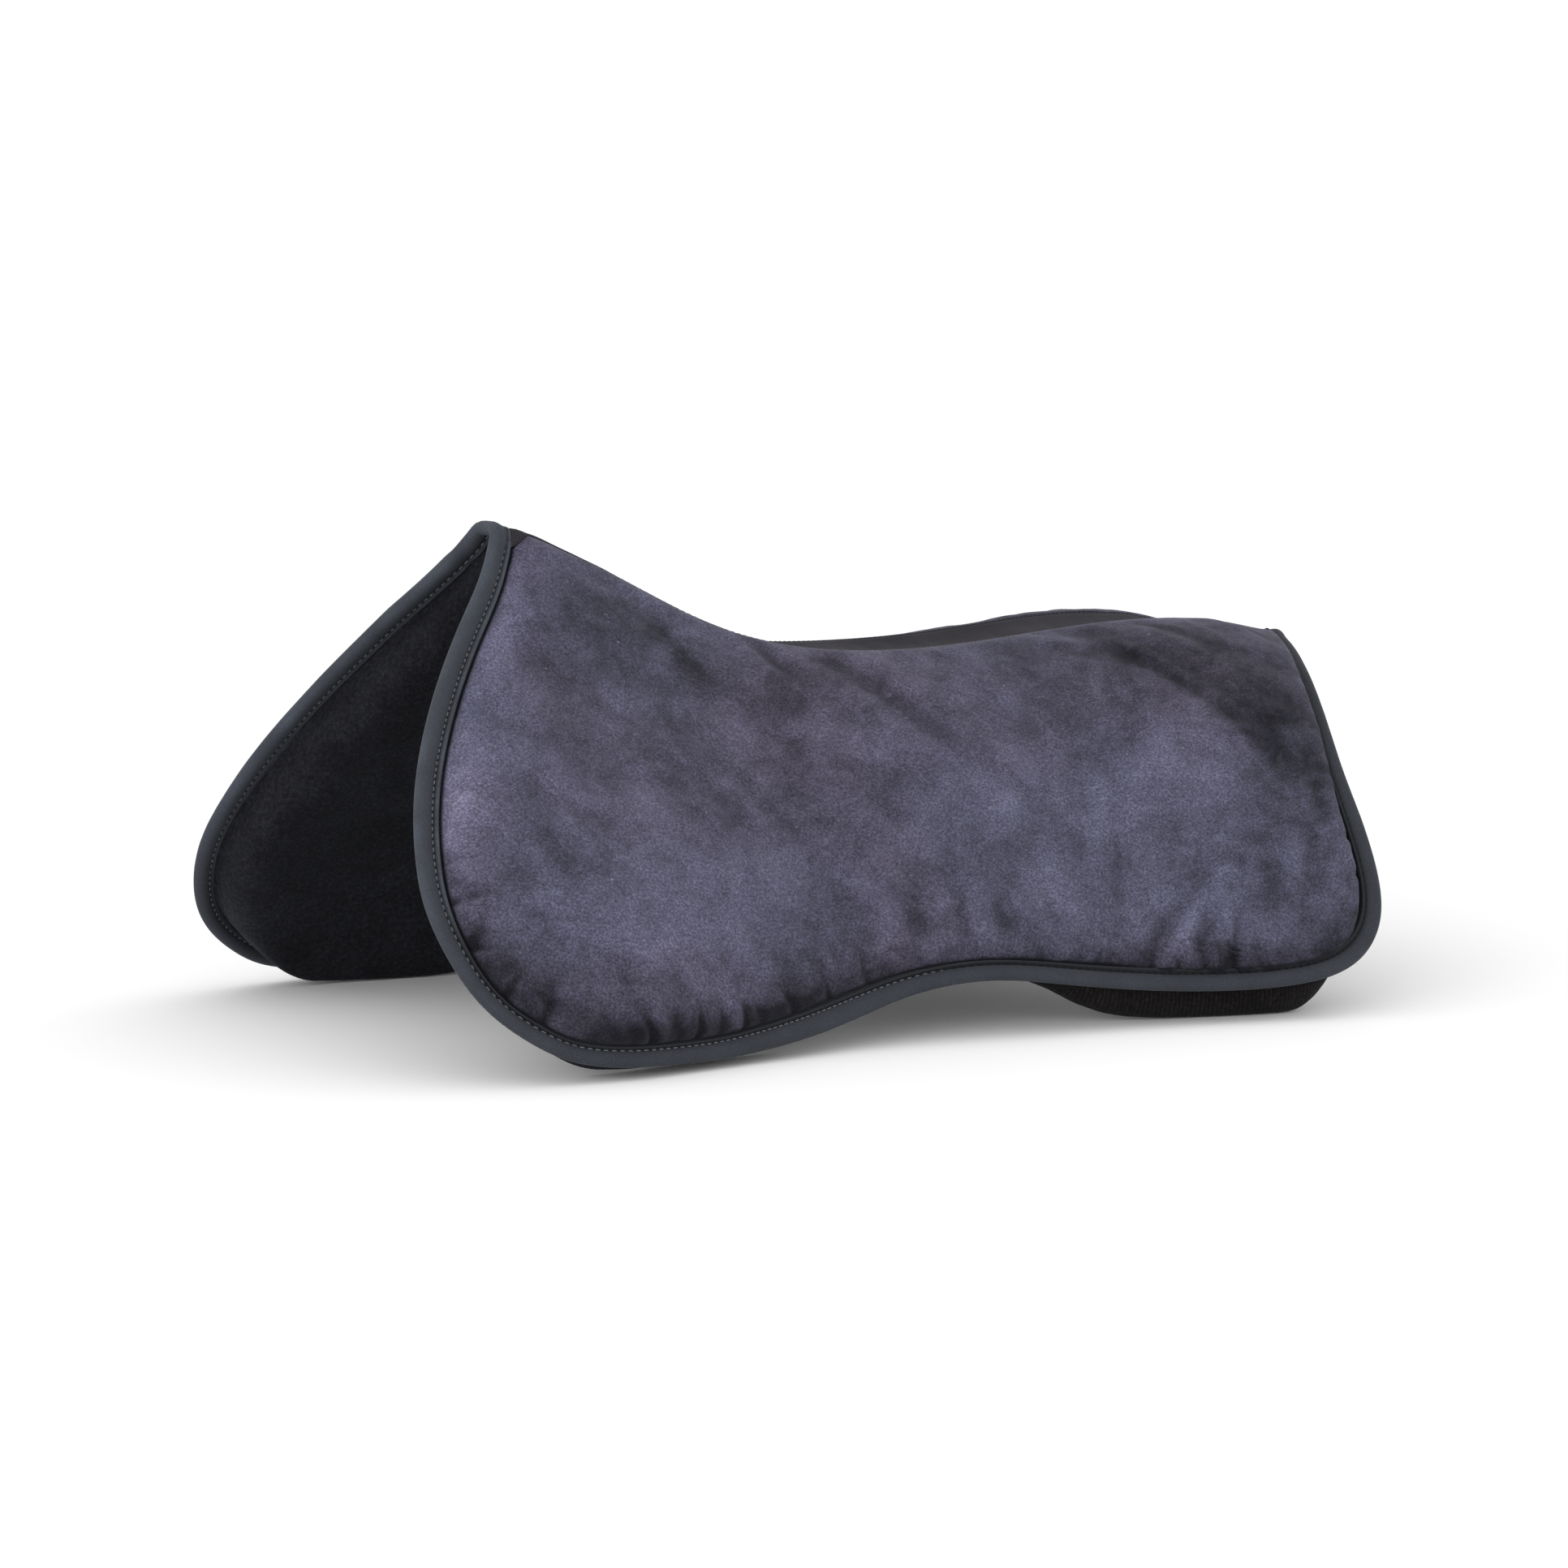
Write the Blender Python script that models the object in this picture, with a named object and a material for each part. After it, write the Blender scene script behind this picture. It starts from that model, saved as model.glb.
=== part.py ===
"""Memory foam half pad for under a riding saddle, standing on its four lobes.

Metres, +Z up. +X runs from the withers end to the loin end, -Y is the horse's left.
The origin is on the surface that the pad stands on, under the middle of its box.

Each half is cut flat: a point of the cut is (x, b), where b is the length of cloth
between the spine seam and the point, measured across the pad. The half then hangs
from its seam along a slope that changes with x and b, as it does on a horse's back.
"""

import math

import bmesh
import bpy
import numpy as np
from mathutils import Vector
from mathutils.geometry import delaunay_2d_cdt

# ---------------------------------------------------------------- driving dimensions
FOAM_STACK = 0.028  # cover, foam and lining together, under the seat
SEAM_STACK = 0.0031  # the two cloths alone, at the spine seam
CROWN = 0.0068  # how far the cover stands above the binding
SUEDE = 0.0012
LINING = 0.0015
STRIP = 0.0012
GAP = 0.0003  # between cloths that are sewn together
SEWN = 0.0013  # how far a half reaches past its seam, towards the strip
TAPE_WIDTH = 0.0120  # the bound edge, once folded
TAPE_HALF = 0.0034
THREAD_R = 0.00045

# The seam that joins a half to the spine strip: half-width and height above the ground.
SEAM_X = (-0.2025, -0.1325, -0.0625, 0.0175, 0.0875, 0.1875, 0.3075)
SEAM_HALF_WIDTH = (0.0113, 0.0044, 0.0196, 0.0374, 0.0331, 0.0354, 0.0405)
SEAM_HEIGHT = (0.2580, 0.2360, 0.2008, 0.1871, 0.1887, 0.1960, 0.1867)

# How steeply a half falls away, in degrees below level: a row for each x, a column for each b.
SLOPE_X = (-0.3025, -0.1925, -0.0725, 0.0675, 0.1875, 0.3275)
SLOPE_B = (0.0, 0.08, 0.16, 0.24, 0.32)
SLOPE = (
    (76, 63, 52, 53, 76),
    (66, 53.5, 44.5, 57, 86),
    (49, 48.5, 51, 61.5, 78),
    (34, 45, 53, 58, 66.5),
    (23, 39.5, 51, 55, 60),
    (14.5, 33, 47.5, 55, 58),
)

# The cut of a half, along its bound edge from the withers over the lobes to the loin.
CUT = (
    (-0.1925, 0.0),
    (-0.2005, 0.018),
    (-0.2235, 0.057),
    (-0.2475, 0.098),
    (-0.2665, 0.136),
    (-0.2815, 0.174),
    (-0.2905, 0.208),
    (-0.2935, 0.231),
    (-0.2915, 0.254),
    (-0.2775, 0.286),
    (-0.2585, 0.301),
    (-0.2425, 0.308),
    (-0.2165, 0.310),
    (-0.1905, 0.307),
    (-0.1515, 0.297),
    (-0.1115, 0.274),
    (-0.0715, 0.242),
    (-0.0335, 0.218),
    (0.0025, 0.211),
    (0.0375, 0.217),
    (0.0825, 0.231),
    (0.1265, 0.245),
    (0.1695, 0.254),
    (0.1995, 0.252),
    (0.2205, 0.239),
    (0.2325, 0.221),
    (0.2395, 0.197),
    (0.2475, 0.143),
    (0.2565, 0.106),
    (0.2735, 0.055),
    (0.2875, 0.020),
    (0.2935, 0.0),
)

# The strip between the seams is an arch at the withers and sags behind them.
STRIP_X = (-0.2025, -0.1325, -0.0625, 0.0175, 0.3075)
STRIP_RISE = (0.0018, 0.0008, -0.0010, -0.0050, -0.0060)

# How far from the seam the foam reaches its full thickness.
FULL_X = (-0.2025, -0.0825, 0.0675, 0.3075)
FULL_B = (0.125, 0.110, 0.055, 0.045)

# The foam is thicker towards the bottom of the loin lobes, which the pad also stands on.
LOIN_SHARE = 0.36
LOIN_X = (0.0, 0.10)
LOIN_B = (0.10, 0.20)
# Under its own weight the foam settles towards the ground at the bottom of each lobe: how far
# each ring of the lining goes, and the spans of x and of b over which that comes and goes.
SETTLED_WITHERS = (0, 0.0035, 0.0075, 0.0115, 0.0155, 0.0170, 0)
SETTLED_LOIN = (0, 0.0045, 0.0100, 0.0150, 0.0185, 0.0170, 0)
WITHERS_SPANS = ((-0.06, -0.10), (-0.295, -0.230), (0.235, 0.275))
LOIN_SPANS = ((0.010, 0.070), (0.222, 0.155), (0.170, 0.225))
FLATTENED = 0.0025

# Each half turns about a straight line that runs close to its seam, this point being on it.
HINGE_POINT = (0.05, 0.034, 0.206)

EDGE_STATIONS = 50
SEAM_STATIONS = 18
GRID = 0.030


# ---------------------------------------------------------------- the form
def second_derivatives(knots):
    """The matrix from a natural spline's values to its second derivatives."""
    n, h = len(knots), np.diff(knots)
    a, b = np.eye(n), np.zeros((n, n))
    for i in range(1, n - 1):
        a[i, i - 1], a[i, i], a[i, i + 1] = h[i - 1], 2 * (h[i - 1] + h[i]), h[i]
        b[i, i - 1], b[i, i + 1] = 6 / h[i - 1], 6 / h[i]
        b[i, i] = -6 / h[i - 1] - 6 / h[i]
    return np.linalg.solve(a, b)


class Spline:
    """A natural cubic spline over fixed knots, level with its end values outside them."""

    def __init__(self, knots):
        self.knots = np.asarray(knots, float)
        self.curve = second_derivatives(self.knots)

    def weights(self, x):
        k, x = self.knots, np.asarray(x, float)
        i = np.clip(np.searchsorted(k, x) - 1, 0, len(k) - 2)
        h = k[i + 1] - k[i]
        t = (np.clip(x, k[0], k[-1]) - k[i]) / h
        w = np.zeros(x.shape + (len(k),))
        at = tuple(np.indices(x.shape))
        w[at + (i,)] += 1 - t
        w[at + (i + 1,)] += t
        low = ((1 - t) ** 3 - (1 - t)) * h * h / 6
        high = (t**3 - t) * h * h / 6
        return w + low[..., None] * self.curve[i] + high[..., None] * self.curve[i + 1]

    def __call__(self, values, x):
        return self.weights(x) @ np.asarray(values, float)


SEAM, SLOPES_X, SLOPES_B = Spline(SEAM_X), Spline(SLOPE_X), Spline(SLOPE_B)
TABLE = np.asarray(SLOPE, float)
NODES, SHARES = np.polynomial.legendre.leggauss(16)


def seam_line(x):
    """Half-width and height of the seam, the height running on straight past its ends."""
    x = np.asarray(x, float)
    step = 1e-4
    start, end = SEAM_X[0], SEAM_X[-1]
    ends = SEAM(SEAM_HEIGHT, np.array([start, start + step, end - step, end]))
    height = SEAM(SEAM_HEIGHT, x)
    height = height + np.minimum(x - start, 0) * (ends[1] - ends[0]) / step
    height = height + np.maximum(x - end, 0) * (ends[3] - ends[2]) / step
    return SEAM(SEAM_HALF_WIDTH, x), height


def hang(x, b):
    """Points of the left half at cut positions (x, b), on the level of the binding."""
    x, b = np.broadcast_arrays(np.asarray(x, float), np.asarray(b, float))
    across = SLOPES_X.weights(x) @ TABLE
    along = b[..., None] * (NODES + 1) / 2
    slope = np.radians(
        np.einsum("...qk,...k->...q", SLOPES_B.weights(np.clip(along, 0, None)), across)
    )
    out = (np.cos(slope) * SHARES).sum(-1) * b / 2
    down = (np.sin(slope) * SHARES).sum(-1) * b / 2
    width, height = seam_line(x)
    return np.stack([x, -(width + out), height - down], -1)


def lift(x, b, h):
    """The same points raised by h along the outward normal."""
    step = 5e-4
    x, b = np.broadcast_arrays(np.asarray(x, float), np.asarray(b, float))
    along = hang(x + step, b) - hang(x - step, b)
    across = hang(x, b + step) - hang(x, b - step)
    normal = np.cross(across, along)
    normal /= np.linalg.norm(normal, axis=-1, keepdims=True)
    return hang(x, b) + np.asarray(h, float)[..., None] * normal


def near_seam(x, b):
    """0 at the seam, 1 where the foam has its full thickness."""
    full = np.interp(x, FULL_X, FULL_B)
    return np.sin(np.pi / 2 * np.clip(b / full, 0, 1))


def cover_height(x, b, share):
    return CROWN * share * np.sin(np.pi / 2 * np.clip(b / 0.05, 0, 1))


def eased(value, start, end):
    t = np.clip((value - start) / (end - start), 0, 1)
    return t * t * (3 - 2 * t)


def lining_depth(x, b, depth, least=SEAM_STACK):
    fuller = 1 + LOIN_SHARE * eased(x, *LOIN_X) * eased(b, *LOIN_B)
    return least + (depth * fuller - least) * near_seam(x, b)


# ---------------------------------------------------------------- the flat cut
def smooth_cut(count=900):
    points = np.array(CUT)
    length = np.concatenate(
        [[0], np.cumsum(np.linalg.norm(np.diff(points, axis=0), axis=1))]
    )
    spline = Spline(length)
    return np.stack([spline(points[:, i], np.linspace(0, length[-1], count)) for i in (0, 1)], -1)


CUT_LINE = smooth_cut()


def ring(edge_inset, seam_inset, at_withers=None):
    """One closed loop of the cut, inset from the bound edge and from the seam.

    The inset from the seam may differ at the withers, and then runs straight to the loin.
    """
    start = seam_inset if at_withers is None else at_withers
    tangent = np.gradient(CUT_LINE, axis=0)
    tangent /= np.linalg.norm(tangent, axis=1, keepdims=True)
    inward = np.stack([tangent[:, 1], -tangent[:, 0]], -1)
    line = CUT_LINE + edge_inset * inward
    limit = np.interp(line[:, 0], (CUT[0][0], CUT[-1][0]), (start, seam_inset))
    past = line[:, 1] - limit
    kept = np.flatnonzero(past > 0)
    first, last = kept[0], kept[-1]
    ends = []
    for a, c in ((first - 1, first), (last, last + 1)):
        if 0 <= a and c < len(line):
            ends.append(line[a] + (line[c] - line[a]) * past[a] / (past[a] - past[c]))
        else:
            n = first if a < 0 else last
            ends.append(np.array([line[n, 0], limit[n]]))
    line = np.concatenate([[ends[0]], line[first : last + 1], [ends[1]]])
    length = np.concatenate(
        [[0], np.cumsum(np.linalg.norm(np.diff(line, axis=0), axis=1))]
    )
    at = np.linspace(0, length[-1], EDGE_STATIONS)
    edge = np.stack([np.interp(at, length, line[:, i]) for i in (0, 1)], -1)
    share = np.linspace(0, 1, SEAM_STATIONS + 2)[1:-1, None]
    return np.concatenate([edge, edge[-1] + (edge[0] - edge[-1]) * share])


ON_EDGE = np.arange(EDGE_STATIONS + SEAM_STATIONS) < EDGE_STATIONS
CORE_INSET = 0.024


def core_mesh():
    """The middle of the cut: its boundary is the innermost ring, in the same order."""
    loop = ring(CORE_INSET, CORE_INSET)
    low, high = loop.min(0), loop.max(0)
    inside = []
    rows = int((high[1] - low[1]) / (GRID * 0.87)) + 1
    for j in range(rows):
        b = low[1] + (j + 0.5) * GRID * 0.87
        for i in range(int((high[0] - low[0]) / GRID) + 1):
            p = np.array([low[0] + (i + 0.5 * (j % 2)) * GRID, b])
            a, c = loop, np.roll(loop, -1, axis=0)
            crossing = (a[:, 1] > p[1]) != (c[:, 1] > p[1])
            with np.errstate(divide="ignore", invalid="ignore"):
                at = a[:, 0] + (p[1] - a[:, 1]) * (c[:, 0] - a[:, 0]) / (c[:, 1] - a[:, 1])
            if (crossing & (at > p[0])).sum() % 2 and np.linalg.norm(
                loop - p, axis=1
            ).min() > 0.6 * GRID:
                inside.append(p)
    points = np.concatenate([loop, inside])
    face = list(range(len(loop)))
    _, _, faces, _, _, _ = delaunay_2d_cdt(
        [Vector(p) for p in points], [], [face], 1, 1e-7
    )
    return np.array(inside), [tuple(f) for f in faces]


INSIDE, CORE_FACES = core_mesh()
LOOP = EDGE_STATIONS + SEAM_STATIONS


def sheet(rings, core):
    """Vertices and faces of one cloth: rings from outside in, then the middle."""
    points = np.concatenate([*rings, core])
    faces = []
    for j in range(len(rings) - 1):
        for k in range(LOOP):
            n = (k + 1) % LOOP
            a, b = j * LOOP, (j + 1) * LOOP
            faces.append((a + k, b + k, b + n, a + n))
    base = (len(rings) - 1) * LOOP
    faces += [tuple(base + i for i in f) for f in CORE_FACES]
    return points, faces


# ---------------------------------------------------------------- mesh helpers
def material(name, colour, roughness, sheen=0.0):
    made = bpy.data.materials.new(name)
    made.use_nodes = True
    shader = made.node_tree.nodes["Principled BSDF"]
    shader.inputs["Base Color"].default_value = (*colour, 1)
    shader.inputs["Roughness"].default_value = roughness
    shader.inputs["Metallic"].default_value = 0.0
    shader.inputs["Sheen Weight"].default_value = sheen
    made.diffuse_color = (*colour, 1)
    return made


def add(name, points, faces, finish, parent=None, outward=True):
    mesh = bpy.data.meshes.new(name)
    work = bmesh.new()
    verts = [work.verts.new(p) for p in points]
    for f in faces:
        work.faces.new([verts[i] for i in f])
    if outward:
        bmesh.ops.recalc_face_normals(work, faces=work.faces)
    work.to_mesh(mesh)
    work.free()
    mesh.shade_smooth()
    mesh.set_sharp_from_angle(angle=math.radians(50))
    obj = bpy.data.objects.new(name, mesh)
    bpy.context.collection.objects.link(obj)
    mesh.materials.append(finish)
    if parent:
        obj.parent = parent
        obj.matrix_parent_inverse = parent.matrix_world.inverted()
    return obj


def turned(points, side):
    """The right half is the left one, mirrored."""
    return points if side < 0 else points * np.array([1, -1, 1])


def facing(faces, side, flip):
    return [f[:1] + f[:0:-1] for f in faces] if (side > 0) != flip else faces


def thicken(obj, thickness):
    """Gives a cloth its thickness, away from the side that its faces show."""
    made = obj.modifiers.new("cloth", "SOLIDIFY")
    made.thickness = thickness
    made.offset = -1
    made.use_even_offset = True


def on_the_ground(points, height):
    """Flattens what would reach the ground, or lies just over it, to that height."""
    points = points.copy()
    points[:, 2] = np.where(points[:, 2] < FLATTENED, 0, points[:, 2])
    points[:, 2] = np.maximum(points[:, 2], height)
    return points


def outside_seam(points, past):
    """Keeps a piece of the left half on its own side of the seam."""
    points = points.copy()
    limit = -(seam_line(points[:, 0])[0] - past)
    points[:, 1] = np.minimum(points[:, 1], limit)
    return points


# ---------------------------------------------------------------- the pieces of a half
# Across the bound edge, the cover rises from the tape, and the lining drops from the tape's
# inner side and rounds in under the foam.
COVER_EDGE = ((0.0126, 0.29), (0.0170, 0.66), (CORE_INSET, 0.93))
COVER_SEAM = (0.0003, 0.0140, CORE_INSET)
# Each ring has its inset, its depth, and its depth where the foam has run out at the seam.
LINING_EDGE = (
    (0.0126, 0.0026, 0.0033),
    (0.0128, 0.0062, 0.0050),
    (0.0124, 0.0105, 0.0056),
    (0.0128, 0.0155, 0.0060),
    (0.0148, 0.0208, 0.0064),
    (0.0185, 0.0254, 0.0064),
    (CORE_INSET, 0.0280, 0.0030),
)
LINING_SEAM = (0.0003, 0.0020, 0.0040, 0.0070, 0.0110, 0.0160, CORE_INSET)
LINING_WITHERS = (0.0050, 0.0065, 0.0080, 0.0100, 0.0130, 0.0170, CORE_INSET)


def cover_sheet(below):
    rings = []
    for (inset, share), seam in zip(COVER_EDGE, COVER_SEAM):
        x, b = ring(inset, seam).T
        shares = np.where(ON_EDGE, share, 1.0)
        rings.append(lift(x, b, cover_height(x, b, shares) - below))
    x, b = INSIDE.T
    return rings, lift(x, b, cover_height(x, b, 1.0) - below)


def settled(x, b, ring_number, amount=1.0):
    """The ring's (x, b), lengthened where a lobe carries the pad."""
    longer = b
    for amounts, (rear, front, down) in (
        (SETTLED_WITHERS, WITHERS_SPANS),
        (SETTLED_LOIN, LOIN_SPANS),
    ):
        share = eased(x, *rear) * eased(x, *front) * eased(b, *down)
        longer = longer + amount * amounts[ring_number] * share
    return x, longer


def edge_normals():
    """The way into the foam at each ring of the lining, across the bound edge."""
    profile = np.array([(i, -d) for i, d, _ in LINING_EDGE])
    along = np.gradient(profile, axis=0)
    along /= np.linalg.norm(along, axis=1, keepdims=True)
    inward = np.stack([-along[:, 1], along[:, 0]], -1)
    inward[-1] = (0, 1)
    return inward


def lining_sheet(inside_by):
    rings = []
    for j, ((inset, depth, least), seam, withers, (across, up)) in enumerate(
        zip(LINING_EDGE, LINING_SEAM, LINING_WITHERS, edge_normals())
    ):
        x, b = settled(*ring(inset + inside_by * across, seam, withers).T, j)
        depths = np.where(ON_EDGE, depth, FOAM_STACK)
        leasts = np.where(ON_EDGE, least, SEAM_STACK)
        raised = np.where(ON_EDGE, inside_by * up, inside_by)
        rings.append(lift(x, b, -(lining_depth(x, b, depths, leasts) - raised)))
    x, b = INSIDE.T
    return rings, lift(x, b, -(lining_depth(x, b, FOAM_STACK) - inside_by))


def set_back(x, b, inset):
    """The lip of the bound edge is too thin for foam beside the withers end of the seam."""
    near = np.clip((0.075 - b) / 0.05, 0, 1) * (x < -0.1)
    return 0.010 * near * np.clip((0.016 - inset) / 0.012, 0, 1)


def foam_solid():
    """The foam fills the space between the cover and the lining, and ends short of the seam."""
    clear = LINING + 0.0016
    start = COVER_SEAM[1]
    top, top_core = cover_sheet(SUEDE + 0.0017)
    rings = [top[2], top[1]]
    top_x, top_b = ring(COVER_EDGE[1][0], start).T
    top_h = cover_height(top_x, top_b, 1.0) - SUEDE - 0.0017
    last = 4
    for j, ((inset, depth, least), (across, up)) in enumerate(
        zip(LINING_EDGE, edge_normals())
    ):
        seam = max(LINING_SEAM[j], start)
        x, b = ring(inset + clear * across, seam).T
        x, b = settled(x + set_back(x, b, inset + clear * across), b, j, 0.82)
        depths = np.where(ON_EDGE, depth, FOAM_STACK)
        leasts = np.where(ON_EDGE, least, SEAM_STACK)
        raised = np.where(ON_EDGE, clear * up, clear)
        h = -(lining_depth(x, b, depths, leasts) - raised)
        if j < last:
            share = (j + 1) / (last + 1)
            wall = top_h + (h - top_h) * share
            h = np.where(ON_EDGE, np.minimum(h, top_h - 0.0004 * (j + 1)), wall)
        rings.append(lift(x, b, h))
    x, b = INSIDE.T
    bottom_core = lift(x, b, -(lining_depth(x, b, FOAM_STACK) - clear))
    points = np.concatenate([top_core, *rings, bottom_core])
    count, faces = len(INSIDE), []
    for f in CORE_FACES:
        faces.append(tuple(count + i if i < LOOP else i - LOOP for i in f)[::-1])
    for j in range(len(rings) - 1):
        for k in range(LOOP):
            n = (k + 1) % LOOP
            a, c = count + j * LOOP, count + (j + 1) * LOOP
            faces.append((a + k, a + n, c + n, c + k))
    base = count + (len(rings) - 1) * LOOP
    faces += [tuple(base + i for i in f) for f in CORE_FACES]
    return points, faces


# The folded tape in cross-section: inset from the edge, and height from the middle of the fold.
TAPE = (
    (0.0, 0.0),
    (0.0032, TAPE_HALF),
    (0.0088, TAPE_HALF),
    (TAPE_WIDTH, 0.0011),
    (TAPE_WIDTH, -0.0011),
    (0.0085, -0.0031),
    (0.0030, -TAPE_HALF),
)


def swept(sections):
    """A solid through closed sections of the same number of points, with flat ends."""
    size = len(sections[0])
    points, faces = np.concatenate(sections), []
    for j in range(len(sections) - 1):
        for k in range(size):
            n = (k + 1) % size
            a, b = j * size, (j + 1) * size
            faces.append((a + k, a + n, b + n, b + k))
    faces.append(tuple(range(size))[::-1])
    faces.append(tuple(range(len(points) - size, len(points))))
    return points, faces


def tape_solid():
    lines = [ring(max(inset, 1e-6), GAP / 2)[:EDGE_STATIONS] for inset, _ in TAPE]
    sections = []
    for k in range(EDGE_STATIONS):
        x = np.array([line[k, 0] for line in lines])
        b = np.array([line[k, 1] for line in lines])
        sections.append(lift(x, b, np.array([h for _, h in TAPE])))
    return swept(sections)


def thread(line):
    """A thin thread along points of the left half, square in section."""
    line = np.asarray(line)
    along = np.gradient(line, axis=0)
    along /= np.linalg.norm(along, axis=1, keepdims=True)
    side = np.cross(along, (0, 0, 1.0))
    side /= np.linalg.norm(side, axis=1, keepdims=True)
    up = np.cross(side, along)
    turns = [math.radians(45 + 90 * i) for i in range(4)]
    sections = [
        np.array(
            [p + THREAD_R * (math.cos(t) * s + math.sin(t) * u) for t in turns]
        )
        for p, s, u in zip(line, side, up)
    ]
    return swept(sections)


def edge_thread():
    x, b = ring(0.0068, 0.004)[:EDGE_STATIONS].T
    return thread(lift(x, b, np.full(len(x), TAPE_HALF + GAP + THREAD_R)))


def seam_thread():
    x, b = ring(0.016, 0.0028)[EDGE_STATIONS:].T
    return thread(lift(x, b, cover_height(x, b, 1.0) + GAP + THREAD_R + 0.0001))


# ---------------------------------------------------------------- the spine strip
def strip_height(x, y_share, below):
    width, height = seam_line(x)
    rise = np.interp(x, STRIP_X, STRIP_RISE)
    return height + rise * (1 - y_share**2) - below


def strip_sheet(front, rear, below):
    columns, rows = 22, 7
    points, faces = [], []
    for i in range(columns):
        x = front + (rear - front) * i / (columns - 1)
        width = float(seam_line(x)[0]) - SEWN - 3 * GAP
        for j in range(rows):
            share = -1 + 2 * j / (rows - 1)
            points.append((x, share * width, float(strip_height(x, share, below))))
    for i in range(columns - 1):
        for j in range(rows - 1):
            a, b = i * rows + j, (i + 1) * rows + j
            faces.append((a, b, b + 1, a + 1))
    return np.array(points), faces


def bridge_solid(end, inward):
    """The tape where it crosses the strip, from one seam to the other."""
    sections = []
    for j in range(9):
        share = -1 + 2 * j / 8
        section = []
        for inset, h in TAPE:
            x = end + inward * inset
            width = float(seam_line(x)[0]) - SEWN - 3 * GAP
            height = float(strip_height(x, share, 0))
            section.append((x, share * width, height + h * 0.9))
        sections.append(np.array(section))
    return swept(sections)


# ---------------------------------------------------------------- the pad
for old in list(bpy.data.objects):
    bpy.data.objects.remove(old)

SUEDE_FINISH = material("suede", (0.070, 0.064, 0.090), 0.92, 0.35)
LINING_FINISH = material("lining", (0.014, 0.014, 0.016), 0.95, 0.2)
FOAM_FINISH = material("foam", (0.72, 0.66, 0.46), 0.9)
TAPE_FINISH = material("tape", (0.036, 0.045, 0.056), 0.8, 0.2)
STRIP_FINISH = material("strip", (0.035, 0.040, 0.042), 0.85, 0.2)
THREAD_FINISH = material("thread", (0.12, 0.13, 0.15), 0.6)

for side, word in ((-1, "left"), (1, "right")):
    hinge = bpy.data.objects.new("hinge_" + word, None)
    hinge.location = (HINGE_POINT[0], side * HINGE_POINT[1], HINGE_POINT[2])
    bpy.context.collection.objects.link(hinge)
    bpy.context.view_layer.update()

    rings, core = cover_sheet(0.0)
    points, faces = sheet(rings, core)
    cover = add(
        "suede_cover_" + word,
        turned(points, side),
        facing(faces, side, True),
        SUEDE_FINISH,
        hinge,
        outward=False,
    )
    thicken(cover, SUEDE)

    points, faces = foam_solid()
    foam = on_the_ground(outside_seam(points, -0.0024), LINING + 0.0009)
    add("memory_foam_" + word, turned(foam, side), faces, FOAM_FINISH, hinge)

    rings, core = lining_sheet(0.0)
    points, faces = sheet(rings, core)
    lining = add(
        "lining_" + word,
        turned(on_the_ground(outside_seam(points, SEWN), 0.0), side),
        facing(faces, side, False),
        LINING_FINISH,
        hinge,
        outward=False,
    )
    thicken(lining, LINING)

    points, faces = tape_solid()
    points = outside_seam(points, SEWN)
    add("binding_" + word, turned(points, side), faces, TAPE_FINISH, hinge)
    points, faces = edge_thread()
    add("edge_stitching_" + word, turned(points, side), faces, THREAD_FINISH, hinge)
    points, faces = seam_thread()
    add("seam_stitching_" + word, turned(points, side), faces, THREAD_FINISH, hinge)

FRONT, REAR = CUT[0][0], CUT[-1][0]
STRIP_FRONT, STRIP_REAR = FRONT + TAPE_WIDTH + 0.0018, REAR - TAPE_WIDTH - 0.0018
for name, below, thickness, finish in (
    ("spine_strip_top", 0.0, STRIP, STRIP_FINISH),
    ("spine_strip_lining", STRIP + 5 * GAP, LINING, LINING_FINISH),
):
    points, faces = strip_sheet(STRIP_FRONT, STRIP_REAR, below)
    thicken(add(name, points, faces, finish, outward=False), thickness)
points, faces = bridge_solid(FRONT, 1)
add("binding_bridge_withers", points, faces, TAPE_FINISH)
points, faces = bridge_solid(REAR, -1)
add("binding_bridge_loin", points, faces, TAPE_FINISH)
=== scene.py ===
"""The looks of the half pad: suede, lining, bound edge, stitches and spine strip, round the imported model."""

import math

import bpy
import numpy as np
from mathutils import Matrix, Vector
from mathutils.geometry import delaunay_2d_cdt
from mathutils.kdtree import KDTree


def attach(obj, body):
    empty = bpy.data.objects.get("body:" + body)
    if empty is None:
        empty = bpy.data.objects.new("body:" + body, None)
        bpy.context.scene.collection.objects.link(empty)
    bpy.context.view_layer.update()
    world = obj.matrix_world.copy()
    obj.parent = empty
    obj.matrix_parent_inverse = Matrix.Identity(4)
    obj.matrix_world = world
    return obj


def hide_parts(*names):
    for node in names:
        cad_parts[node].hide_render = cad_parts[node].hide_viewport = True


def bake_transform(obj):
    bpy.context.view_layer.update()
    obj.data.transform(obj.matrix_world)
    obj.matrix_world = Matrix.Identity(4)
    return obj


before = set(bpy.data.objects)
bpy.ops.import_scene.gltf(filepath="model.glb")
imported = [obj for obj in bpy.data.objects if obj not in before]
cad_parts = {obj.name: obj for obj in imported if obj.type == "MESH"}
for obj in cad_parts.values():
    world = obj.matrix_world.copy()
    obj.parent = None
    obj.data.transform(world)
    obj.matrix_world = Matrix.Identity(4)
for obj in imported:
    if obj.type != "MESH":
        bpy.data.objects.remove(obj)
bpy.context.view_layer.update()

# ---------------------------------------------------------------- the same form as the solids
CROWN = 0.0068
FOAM_STACK = 0.028
SEAM_STACK = 0.0031
STRIP = 0.0012
LINING = 0.0015
SEAM_X = (-0.2025, -0.1325, -0.0625, 0.0175, 0.0875, 0.1875, 0.3075)
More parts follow.
